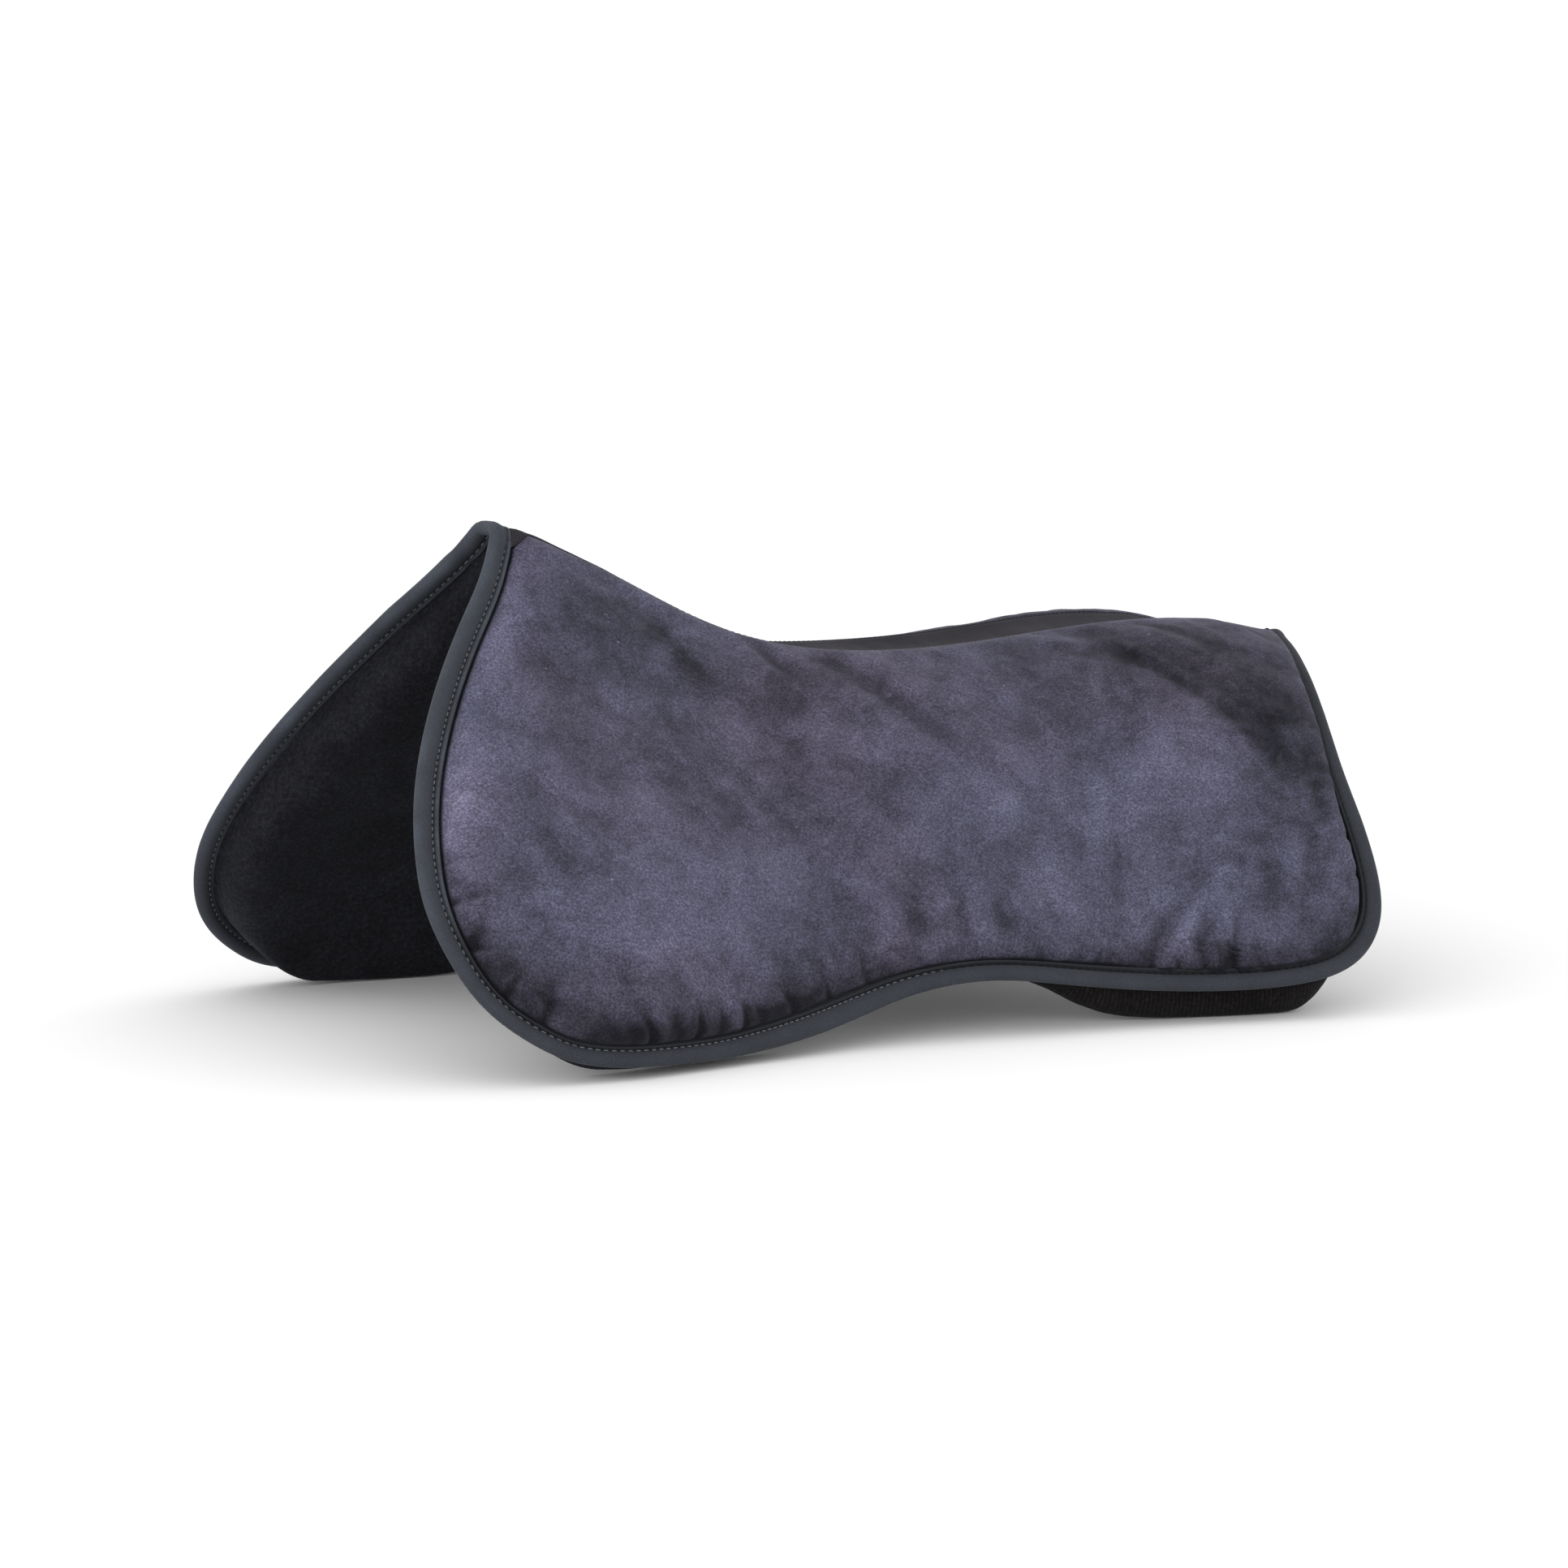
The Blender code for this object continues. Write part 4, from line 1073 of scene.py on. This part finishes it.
# ---------------------------------------------------------------- the linings
LINING_EDGE = (
    # inset, depth, least depth by the seam, settling at the withers and at the loin, inset from
    # the seam, and that at the withers
    (0.0106, 0.0012, 0.0015, 0.0000, 0.0000, 0.0003, 0.0012),
    (0.0122, 0.0026, 0.0030, 0.0000, 0.0000, 0.0008, 0.0022),
    (0.0128, 0.0062, 0.0050, 0.0035, 0.0045, 0.0020, 0.0065),
    (0.0125, 0.0105, 0.0056, 0.0075, 0.0100, 0.0040, 0.0080),
    (0.0129, 0.0155, 0.0060, 0.0115, 0.0150, 0.0070, 0.0100),
    (0.0148, 0.0208, 0.0064, 0.0155, 0.0185, 0.0110, 0.0130),
    (0.0188, 0.0252, 0.0064, 0.0165, 0.0170, 0.0160, 0.0170),
    (0.0245, 0.0276, 0.0050, 0.0085, 0.0085, 0.0220, 0.0230),
    (0.0320, 0.0284, 0.0036, 0.0000, 0.0000, 0.0300, 0.0300),
)
LINING_LOOP = (340, 140)
LINING_GRID = 0.0040


def lining_rings(count, loop_counts, past=0.0):
    """The lining's rings, or those of the foam that lies past it: its cut, depths and settling."""
    loop = sum(loop_counts)
    at = np.linspace(0, len(LINING_EDGE) - 1, count)
    table = Spline(np.arange(len(LINING_EDGE)))(np.array(LINING_EDGE), at)
    on_edge = np.arange(loop) < loop_counts[0]
    rings, rows = [], []
    for t, (inset, depth, thin, withers, loin, seam, front) in zip(at, table):
        rings.append(
            ring(
                max(inset + past, 0.0004),
                max(seam + 2 * past, 0.0003),
                *loop_counts,
                max(front + 2 * past, 0.001),
            )
        )
        rows.append(
            np.stack(
                [
                    np.where(on_edge, depth, FOAM_STACK),
                    np.where(on_edge, thin, SEAM_STACK),
                    np.where(on_edge, max(withers, 0), 0),
                    np.where(on_edge, max(loin, 0), 0),
                    np.where(on_edge, eased(t, 0.4, 1.2) * eased(t, 7.4, 5.6), 0),
                ],
                -1,
            )
        )
    return rings, rows


def lining_parts():
    rings, rows = lining_rings(25, LINING_LOOP)
    core, core_faces = core_mesh(rings[-1], LINING_GRID)
    middle = np.tile((FOAM_STACK, SEAM_STACK, 0, 0, 0), (len(core), 1))
    return (
        np.concatenate([*rings, core]),
        ring_faces(len(rings), sum(LINING_LOOP), core_faces),
        np.concatenate([*rows, middle]),
    )


LINING_FLAT, LINING_FACES, LINING_ROWS = lining_parts()
LINING_S, LINING_D, _ = place_on_edge(*LINING_FLAT.T)


def on_the_ground(points, height=0.0):
    """The lobes' undersides flatten where they carry the pad."""
    z = points[:, 2] - height - 0.0006
    points[:, 2] = height + 0.5 * (z + np.sqrt(z * z + 0.0014**2))
    return points


def settle(x, b, withers, loin, amount=1.0):
    """b lengthened where a lobe carries the pad."""
    for far, (rear, front, down) in ((withers, WITHERS_SPANS), (loin, LOIN_SPANS)):
        b = b + amount * far * eased(x, *rear) * eased(x, *front) * eased(b, *down)
    return b


def add_lining(side, word):
    seed = 83 if side < 0 else 131
    x, b = LINING_FLAT.T
    s, d = LINING_S, LINING_D
    deep, thin, withers, loin, wall = LINING_ROWS.T
    longer = settle(x, b, withers, loin)
    h = -lining_depth(x, longer, deep, thin)
    quiet = near_seam(x, b) * eased(d, 0.004, 0.020)
    uneven = 0.0007 * lattice_noise(x / 0.060, b / 0.060 + 4.0, seed)
    uneven += 0.0003 * lattice_noise(x / 0.024, b / 0.024 + 7.0, seed + 1)
    # where it is gathered into the bound edge
    gather = 0.0007 * lattice_noise(s / 0.011, s * 0 + 0.5, seed + 2) * wall * bell(d - 0.0125, 0.006)
    points = lift(x, longer, h + (uneven - 0.0004) * quiet + gather)
    width = seam_line(points[:, 0])[0]
    points[:, 1] = np.minimum(points[:, 1], -(width - 0.0013))
    points = on_the_ground(leaning(points, side))
    points, faces, flat = shell(points, LINING_FACES, 0.0012, sum(LINING_LOOP), LINING_FLAT)
    points, faces = mirrored(points, faces, side)
    loin_side = eased(LINING_FLAT[:, 0], -0.05, 0.03)
    obj = build("lining_panel_" + word, points, faces, LINING_FINISH, flat * 10, {"wall": np.tile(wall * loin_side, 2)})
    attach(obj, word + "_half")
    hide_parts("lining_" + word)
    return obj


# ---------------------------------------------------------------- the foam, inside
FOAM_LOOP = (150, 60)


def add_foam(side, word):
    """The foam between the cover and the lining, clear of both."""
    rings, rows = lining_rings(13, FOAM_LOOP, 0.0034)
    rings, rows = rings[2:], rows[2:]
    top = [ring(i, s, *FOAM_LOOP, 0.020) for i, s in ((0.0354, 0.030), (0.0250, 0.0200), (0.0185, 0.0140))]
    core, core_faces = core_mesh(rings[-1], 0.012)
    x, b = top[0].T
    layers = []
    cx, cb = core.T
    seam = np.full(len(cx), 0.02)
    layers.append(lift(cx, cb, cover_rise(cx, cb, place_on_edge(cx, cb)[1], seam) - 0.0046))
    for k, (loop, low) in enumerate(zip(top, (0.0046, 0.0052, 0.0070))):
        x, b = loop.T
        d = place_on_edge(x, b)[1]
        layers.append(lift(x, b, cover_rise(x, b, d, seam[0] + 0 * x) - low))
    for j, (loop, row) in enumerate(zip(rings, rows)):
        x, b = loop.T
        deep, thin, withers, loin, _ = row.T
        longer = settle(x, b, withers, loin, 0.8)
        h = -lining_depth(x, longer, deep, thin) + 0.0036
        layers.append(lift(x, longer, np.minimum(h, -0.0016 - 0.0002 * j)))
    x, b = core.T
    layers.append(lift(x, b, -lining_depth(x, b, FOAM_STACK, SEAM_STACK) + 0.0036))
    points = np.concatenate(layers)
    count, loop = len(core), sum(FOAM_LOOP)
    faces = [tuple(count + i if i < loop else i - loop for i in f) for f in core_faces]
    loops = len(top) + len(rings)
    for j in range(loops - 1):
        for k in range(loop):
            n = (k + 1) % loop
            a, c = count + j * loop, count + (j + 1) * loop
            faces.append((a + k, a + n, c + n, c + k))
    base = count + (loops - 1) * loop
    faces += [tuple(base + i for i in f)[::-1] for f in core_faces]
    points[:, 1] = np.minimum(points[:, 1], -(seam_line(points[:, 0])[0] + 0.002))
    points = on_the_ground(leaning(points, side), 0.004)
    points, faces = mirrored(points, [f[::-1] for f in faces], side)
    obj = build("foam_core_" + word, points, faces, FOAM_FINISH)
    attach(obj, word + "_half")
    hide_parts("memory_foam_" + word)
    return obj


# ---------------------------------------------------------------- the bound edge
TAPE_TOP = (
    (0.00, 0.00), (0.25, 1.35), (1.00, 2.60), (2.20, 3.50), (3.60, 3.85), (5.20, 3.60), (6.70, 2.95),
    (7.90, 2.10), (8.60, 1.35), (9.00, 1.05), (9.40, 1.55), (9.85, 2.35), (10.45, 2.70), (11.05, 2.45),
    (11.40, 1.60), (11.60, 0.40),
)
TAPE_UNDER = (
    (11.55, -0.50), (11.40, -1.80), (10.90, -2.75), (10.20, -2.95), (9.60, -2.45), (9.10, -1.75),
    (8.60, -1.85), (7.60, -2.60), (6.20, -3.25), (4.40, -3.60), (2.60, -3.30), (1.10, -2.30), (0.25, -1.10),
)
GROOVE = 0.0090


def groove_at(at):
    """How far in the stitched groove runs, which changes along the edge."""
    return np.interp(at, (0.0, 0.27, 0.33, 0.64, 0.72, 0.78, 1.2), (0.0085, 0.0086, 0.0083, 0.0082, 0.0086, 0.0090, 0.0090))


LOIN_HEM = (0.600, 0.640)


def warped(insets, at, upper):
    """Insets of the profile, moved so that the groove and the hem lie where they do at each place."""
    groove = groove_at(at)[:, None]
    inner, outer = 0.0045, 0.01155
    hem = outer - 0.0015 * narrow_hem(at)[:, None] * upper
    below = inner + (insets - inner) * (groove - inner) / (GROOVE - inner)
    above = groove + (insets - GROOVE) * (hem - groove) / (outer - GROOVE)
    return np.where(insets <= inner, insets, np.where(insets < GROOVE, below, above))


TAPE_PROFILE = np.array(TAPE_TOP + TAPE_UNDER) / 1000
TAPE_STEP = 0.0022


def edge_path():
    """The bound edge in the flat, on from past the middle of the strip at each end."""
    front, rear = CUT[0][0], CUT[-1][0]
    w0, w1 = float(seam_line(front)[0]), float(seam_line(rear)[0])
    lead = np.stack([np.full(60, front), np.linspace(-2 * w0, 0, 61)[:-1]], -1)
    tail = np.stack([np.full(60, rear), np.linspace(0, -2 * w1, 61)[1:]], -1)
    line = np.concatenate([lead, CUT_LINE, tail])
    length = np.concatenate([[0], np.cumsum(np.linalg.norm(np.diff(line, axis=0), axis=1))])
    fine = np.arange(0, length[-1], 0.0005)
    path = np.stack([np.interp(fine, length, line[:, i]) for i in (0, 1)], -1)
    path = smooth_down(path, 0.0045, 0.0005)
    start = np.interp(-w0, path[: len(path) // 4, 1], fine[: len(path) // 4])
    tail_b = path[-len(path) // 4 :, 1]
    end = np.interp(w1, -tail_b, fine[-len(path) // 4 :])
    return path, fine, start, end


PATH, PATH_AT, PATH_START, PATH_END = edge_path()
PATH_LENGTH = PATH_END - PATH_START
PATH_TANGENT = np.gradient(PATH, axis=0)
PATH_TANGENT /= np.linalg.norm(PATH_TANGENT, axis=1, keepdims=True)


def on_path(at, insets, heights):
    """Points of the left half: a row for each place along the edge, a column for each inset and height."""
    at = np.asarray(at, float) + PATH_START
    line = np.stack([np.interp(at, PATH_AT, PATH[:, i]) for i in (0, 1)], -1)
    tangent = np.stack([np.interp(at, PATH_AT, PATH_TANGENT[:, i]) for i in (0, 1)], -1)
    inward = np.stack([tangent[:, 1], -tangent[:, 0]], -1)
    x = line[:, None, 0] + inward[:, None, 0] * insets
    b = line[:, None, 1] + inward[:, None, 1] * insets
    normal = normals_of(surface, line[:, None, 0] + 0 * x, line[:, None, 1] + 0 * b, 0.003)
    own = normals_of(surface, x, b, 0.002)
    normal = normal + own
    normal /= np.linalg.norm(normal, axis=-1, keepdims=True)
    return surface(x, b) + heights[..., None] * normal, b


def wobble(at, seed):
    """The tape isn't quite even along its length."""
    return 1 + 0.05 * lattice_noise(at / 0.022, at * 0 + 0.5, seed) + 0.025 * lattice_noise(at / 0.009, at * 0 + 0.5, seed + 1)


def tape_rows(side):
    seed = 201 if side < 0 else 233
    count = int(round(PATH_LENGTH / TAPE_STEP)) + 1
    upper = TAPE_PROFILE[:, 1] > 0
    step = PATH_LENGTH / (count - 1)
    extra = 8
    at = np.arange(-extra, count + extra) * step
    heights = TAPE_PROFILE[:, 1] * wobble(at, seed)[:, None]
    # sewing pulls the groove down between one stitch and the next
    groove = bell(TAPE_PROFILE[:, 0] - GROOVE, 0.0009) * upper
    heights = heights - 0.00035 * groove * (0.5 + 0.5 * np.cos(2 * np.pi * at / STITCH_STEP))[:, None]
    # over the withers it is pulled flat, with no groove to be seen
    flat_top = np.interp(TAPE_PROFILE[:, 0], (0.0036, 0.01105), (0.00385, 0.0024))
    flat_top = np.where(upper & (TAPE_PROFILE[:, 0] > 0.0036) & (TAPE_PROFILE[:, 0] < 0.0112), flat_top, TAPE_PROFILE[:, 1])
    heights = heights + (flat_top - heights) * eased(at, 0.024, 0.012)[:, None]
    if side > 0:  # where the far tape turns over the withers it is pinched
        heights = heights * (1 - 0.42 * bell(at - 0.027, 0.0035))[:, None]
    # beside the upper part of the loin end the tape turns down, under the rolled cover
    path = np.stack([np.interp(at + PATH_START, PATH_AT, PATH[:, i]) for i in (0, 1)], -1)
    turn = rear_top(*path.T) * eased(path[:, 1], -0.004, 0.012)
    heights = heights - 0.26 * turn[:, None] * np.clip(0.0112 - TAPE_PROFILE[:, 0], 0, None)
    points, b = on_path(at, warped(TAPE_PROFILE[:, 0] + 0 * heights, at, upper), heights)
    mirror = np.array([1, -1, 1])
    points[:extra] = points[extra + 1 : 2 * extra + 1][::-1] * mirror
    points[-extra:] = points[-2 * extra - 1 : -extra - 1][::-1] * mirror
    smooth = smooth_down(points, 0.0024, step)
    centre = eased(at, 0.045, 0.030) + eased(at, PATH_LENGTH - 0.060, PATH_LENGTH - 0.045)
    hem = eased(TAPE_PROFILE[:, 0], 0.0105, 0.0075)
    points = points + (smooth - points) * centre[:, None, None] * hem[None, :, None]
    points = points[extra:-extra]
    points[[0, -1], :, 1] = 0
    return points, at[extra:-extra], b[extra:-extra]


def follows(x, b, sooner=1.0):
    """0 at the middle of the strip and 1 from its edge on: how far it goes with the half."""
    width, extra = seam_line(x)[0], corner(x)
    share = np.clip(sooner * (width + b) / (width + extra), 0, 1)
    soft, early = share * share * (3 - 2 * share), share * (1.5 - 0.5 * share)
    return soft + (early - soft) * np.clip(extra / 0.009, 0, 1)


def tape_follows(at, x, b, height):
    """The same for the tape, all of which goes with the half past the strip. Its underside goes sooner."""
    past = np.interp(at, (0, 0.010, 0.022), (0, 0, 1)) * np.interp(PATH_LENGTH - at, (0, 0.030, 0.045), (0, 0, 1))
    return np.maximum(follows(x, b, 1.0 + 0.6 * eased(height, 0.0005, -0.0025)), past)


def bends(obj):
    """obj's placement baked into its mesh."""
    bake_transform(obj)


STITCH_STEP = 0.0044


def tube_faces(rows, size, close_start=True, close_end=True):
    faces = []
    for j in range(rows - 1):
        for k in range(size):
            n = (k + 1) % size
            a, b = j * size, (j + 1) * size
            faces.append((a + k, a + n, b + n, b + k))
    if close_start:
        faces.append(tuple(range(size))[::-1])
    if close_end:
        faces.append(tuple(range((rows - 1) * size, rows * size)))
    return faces


def add_tape(side, word):
    points, at, b = tape_rows(side)
    rows, size = points.shape[:2]
    around = np.concatenate([[0], np.cumsum(np.linalg.norm(np.diff(TAPE_PROFILE, axis=0), axis=1))])
    flat = np.stack(np.broadcast_arrays(at[:, None], around[None, :]), -1).reshape(-1, 2) * 1000
    points = leaning(points.reshape(-1, 3), side)
    points.reshape(rows, size, 3)[[0, -1], :, 1] = 0
    if side > 0:  # both tapes meet in the same section
        points.reshape(rows, size, 3)[0] = tape_rows(-1)[0][0]
        points.reshape(rows, size, 3)[-1] = tape_rows(-1)[0][-1]
    inset, upper = TAPE_PROFILE[None, :, 0], TAPE_PROFILE[None, :, 1] > 0
    seed = 271 if side < 0 else 277
    patchy = 0.75 + 0.5 * lattice_noise(at / 0.016, at * 0 + 0.5, seed)[:, None]
    front = eased(at, 0.30, 0.26)[:, None]
    # paler along the fold and, at the front, along the hem: partly rubbed wear, partly painted highlight where the
    # front faces the light
    wear_and_painted_light = 0.50 * patchy * bell(inset - 0.0008, 0.0022) * (0.35 + 0.65 * front)
    wear_and_painted_light = wear_and_painted_light + 0.75 * patchy * bell(inset - 0.0103, 0.0008) * upper * front
    # painted shade down in the stitched groove, darkest at the needle holes, and in the gap by the cover; painted shade
    # on the hem and the whole tape away from the front
    holes = 0.5 + 0.5 * np.cos(2 * np.pi * at / STITCH_STEP)[:, None]
    wear_and_painted_light = wear_and_painted_light - (0.55 + 0.45 * holes) * bell(inset - GROOVE, 0.00075)
    wear_and_painted_light = wear_and_painted_light - 0.55 * bell(inset - 0.0103, 0.0010) * (1 - front)
    wear_and_painted_light = wear_and_painted_light - 1.3 * bell(inset - 0.0117, 0.0004) - 0.14 * (1 - front)
    # painted shade where the tape runs under the cover rolled over the loin end
    wear_and_painted_light = wear_and_painted_light - 0.42 * eased(at, PATH_LENGTH - 0.20, PATH_LENGTH - 0.11)[:, None] * eased(at, PATH_LENGTH - 0.03, PATH_LENGTH - 0.06)[:, None]
    wear_and_painted_light = np.clip(wear_and_painted_light, -1, 1).ravel()
    weights = tape_follows(np.repeat(at, size), points[:, 0], b.ravel(), np.tile(TAPE_PROFILE[:, 1], len(at)))
    weights[:size] = weights[-size:] = 0
    points, faces = mirrored(points, [f[::-1] for f in tube_faces(rows, size)], side)
    obj = build("bound_edge_" + word, points, faces, TAPE_FINISH, flat, {"wear_and_painted_light": wear_and_painted_light}, True)
    bends(obj)
    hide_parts("binding_" + word, "binding_bridge_withers", "binding_bridge_loin")
    return obj


def capsule_row(points, tangents, sides, ups, length, radius, sink=0.0):
    """Short threads lying along their tangents, as one mesh."""
    rings = [(-0.5, 0.25), (-0.42, 0.75), (-0.2, 1.0), (0.2, 1.0), (0.42, 0.75), (0.5, 0.25)]
    turns = np.arange(6) * np.pi / 3
    shape = np.array(
        [
            (t * length, radius * r * math.cos(a), radius * r * math.sin(a) - sink * (2 * t) ** 2)
            for t, r in rings
            for a in turns
        ]
    )
    verts = (
        points[:, None]
        + shape[None, :, :1] * tangents[:, None]
        + shape[None, :, 1:2] * sides[:, None]
        + shape[None, :, 2:] * ups[:, None]
    )
    one = tube_faces(len(rings), 6)
    faces = [tuple(i + n * len(shape) for i in f) for n in range(len(points)) for f in one]
    return verts.reshape(-1, 3), faces


def add_edge_stitches(side, word):
    count = int(PATH_LENGTH / STITCH_STEP)
    at = (np.arange(count) + 0.5) * STITCH_STEP
    verts, faces, weights = [], [], []
    for inset, height, length, up in ((0.0087, 0.00150, 0.0027, 1), (0.0091, -0.00190, 0.0027, -1)):

        def place(a, i, h, part=0):
            insets = warped(np.full((len(a), 1), i), a, up > 0)
            return on_path(a, insets, h - sunk[:, None])[part][:, 0]

        # at the loin the cover hides the thread of the upper side
        sunk = 0.0016 * eased(at, LOIN_HEM[0], LOIN_HEM[1]) * (up > 0) + 0 * at
        p = place(at, inset, height)
        tangent = place(at + 0.0008, inset, height) - place(at - 0.0008, inset, height)
        tangent /= np.linalg.norm(tangent, axis=1, keepdims=True)
        normal = place(at, inset, height + 0.001) - p
        normal /= np.linalg.norm(normal, axis=1, keepdims=True)
        across = np.cross(normal, tangent)
        v, f = capsule_row(p, tangent, across, normal * up, length, 0.00034, 0.0004)
        faces += [tuple(i + sum(map(len, verts)) for i in q) for q in (f if up > 0 else [g[::-1] for g in f])]
        verts.append(v)
        share = tape_follows(at, p[:, 0], place(at, inset, height, 1), height)
        weights.append(np.repeat(share, len(v) // len(at)))
    points = leaning(np.concatenate(verts), side)
    weights = np.concatenate(weights)
    points, faces = mirrored(points, faces, side)
    obj = build("edge_stitches_" + word, points, faces, THREAD_FINISH)
    bends(obj)
    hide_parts("edge_stitching_" + word)
    return obj


def add_seam_stitches(side, word):
    x = np.arange(CUT[0][0] + 0.014, CUT[-1][0] - 0.014, 0.0032)
    b = corner(x) + 0.0002
    p = lift(x, b, 0.0008 * np.clip(corner(x) / 0.005, 0, 1) - 0.0007)
    tangent = np.gradient(p, axis=0)
    tangent /= np.linalg.norm(tangent, axis=1, keepdims=True)
    across = np.cross(np.broadcast_to([0, 0, 1.0], p.shape), tangent)
    across /= np.linalg.norm(across, axis=1, keepdims=True)
    points, faces = capsule_row(p, tangent, across, np.cross(tangent, across), 0.0024, 0.00028)
    points = leaning(points, side)
    points, faces = mirrored(points, faces, side)
    obj = build("seam_stitches_" + word, points, faces, SEAM_THREAD_FINISH)
    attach(obj, word + "_half")
    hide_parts("seam_stitching_" + word)
    return obj


# ---------------------------------------------------------------- the spine strip
def add_strip(side, word, name, below, thickness, finish, slot, node, under):
    columns, rows = 200, 17
    front, rear = CUT[0][0] + 0.0106, CUT[-1][0] - 0.0106
    along = np.linspace(0, 1, columns)
    along = along - 0.10 * np.sin(np.pi * along) * (1 - along)  # closer together at the withers
    x = np.repeat(front + (rear - front) * along, rows)
    share = np.tile(np.linspace(0, 1, rows), columns)
    seed = 307 if side < 0 else 311
    width = seam_line(x)[0]
    reach = under + (corner(x) + 0.0012 if slot == "strip_cloth" else 0)
    b = -width + share * (width + reach)
    y = width + b
    middle = np.clip(1 - (y / width) ** 2, 0, 1)
    # its front edge follows the tape's hem round the corner
    first = slice(0, 400)
    bowed = np.interp(np.clip(b, 0, 0.03), CUT_LINE[first, 1], CUT_LINE[first, 0]) - CUT[0][0]
    x = x + bowed * eased(x, front + 0.020, front)
    h = -below + 0 * x
    whole = 0.0008 * lattice_noise(x / 0.020, x * 0 + 0.5, 303) + 0.0004 * lattice_noise(x / 0.008, x * 0 + 0.5, 304)
    h = h + middle * whole * np.clip(width / 0.02, 0, 1)
    h = h + 0.0004 * middle * np.clip(y / width, 0, 1) * lattice_noise(x / 0.010, y / 0.010, seed)
    if slot == "strip_cloth":  # it lies a little proud where it widens to meet the tape
        h = h + 0.0013 * np.clip(corner(x) / 0.006, 0, 1) * eased(b, -0.004, 0.001) + shoulder(x, b)
    h = h - 0.0011 * eased(b - corner(x) * (slot == "strip_cloth"), -0.0014, 0.0008)
    normal = normals_of(surface, x, b, 0.0015)
    points = leaning(surface(x, b) + h[:, None] * normal, side)
    points[share == 0, 1] = 0
    # the cut of this side, laid flat
    faces = []
    for i in range(columns - 1):
        for j in range(rows - 1):
            a, c = i * rows + j, (i + 1) * rows + j
            faces.append((a, a + 1, c + 1, c))
    count = len(points)
    back = points - thickness * normal
    back[share == 0, 1] = 0
    rim = (
        [i * rows for i in range(columns)]
        + [(columns - 1) * rows + j for j in range(1, rows)]
        + [i * rows + rows - 1 for i in range(columns - 2, -1, -1)]
        + [j for j in range(rows - 2, 0, -1)]
    )
    closed = faces + [tuple(count + i for i in f[::-1]) for f in faces]
    for k in range(len(rim)):
        a, c = rim[k], rim[(k + 1) % len(rim)]
        closed.append((a, c, count + c, count + a))
    flat = np.stack([x, y], -1) * 10
    points = np.concatenate([points, back])
    weights = np.tile(follows(x, b, 1.0 if slot == "strip_cloth" else 1.0 + 0.3 * bell(x + 0.158, 0.030)), 2)
    weights[np.tile(share == 0, 2)] = 0
    points, closed = mirrored(points, closed, side)
    fields = {"wall": np.zeros(len(points))} if slot == "lining" else None
    obj = build(name + "_" + word, points, closed, finish, np.concatenate([flat, flat]), fields, True)
    bends(obj)
    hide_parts(node)
    return obj


for side, word in ((-1, "left"), (1, "right")):
    add_cover(side, word)
    add_lining(side, word)
    add_tape(side, word)
    add_edge_stitches(side, word)
    add_seam_stitches(side, word)
    add_strip(side, word, "spine_strip", 0.0002, 0.0010, STRIP_FINISH, "strip_cloth", "spine_strip_top", 0.0012)
    add_strip(side, word, "spine_strip_lining", 0.0026, 0.0013, LINING_FINISH, "lining", "spine_strip_lining", 0.0012)
    add_foam(side, word)

# ---------------------------------------------------------------- floor and light
def disc():
    """A plain pale floor, far wider than the view."""
    turns, radii = 96, (0.6, 2.0, 6.0, 20.0, 60.0)
    points, faces = [(0, 0, -0.0003)], []
    for r in radii:
        for k in range(turns):
            a = 2 * math.pi * k / turns
            points.append((r * math.cos(a), r * math.sin(a), -0.0003))
    for k in range(turns):
        faces.append((0, 1 + k, 1 + (k + 1) % turns))
    for j in range(len(radii) - 1):
        for k in range(turns):
            n = (k + 1) % turns
            a, b = 1 + j * turns, 1 + (j + 1) * turns
            faces.append((a + k, b + k, b + n, a + n))
    pale = Nodes("studio_paper")
    tone = pale.noise(3.0, 2.0, 0.5, pale.place())
    made = pale.finish(pale.ramp(tone, ((0.3, (0.94, 0.94, 0.94)), (0.7, (0.95, 0.95, 0.95)))), 1.0, None, 0, (1, 1, 1), 0.5, 0.0)
    return build("studio_floor", points, faces, made)


disc()


def lamp(name, place, towards, size, power, colour=(1, 1, 1)):
    data = bpy.data.lights.new(name, "AREA")
    data.shape = "RECTANGLE"
    data.size, data.size_y = size
    data.energy = power
    data.color = colour
    obj = bpy.data.objects.new(name, data)
    obj.location = place
    obj.rotation_mode = "QUATERNION"
    obj.rotation_quaternion = (Vector(towards) - Vector(place)).to_track_quat("-Z", "Y")
    bpy.context.scene.collection.objects.link(obj)
    return obj


lamp("key", (-3.1, -2.0, 1.0), (0, 0, 0.1), (2.4, 1.8), 46, (1.0, 0.99, 0.98))
lamp("fill", (1.2, -3.4, 1.0), (0, 0, 0.1), (2.6, 1.6), 12, (0.98, 0.99, 1.0))

world = bpy.data.worlds.new("studio")
world.use_nodes = True
world.node_tree.nodes["Background"].inputs["Color"].default_value = (1, 1, 1, 1)
world.node_tree.nodes["Background"].inputs["Strength"].default_value = 1.07
bpy.context.scene.world = world
bpy.context.scene.view_settings.view_transform = "Standard"
bpy.context.scene.view_settings.look = "None"
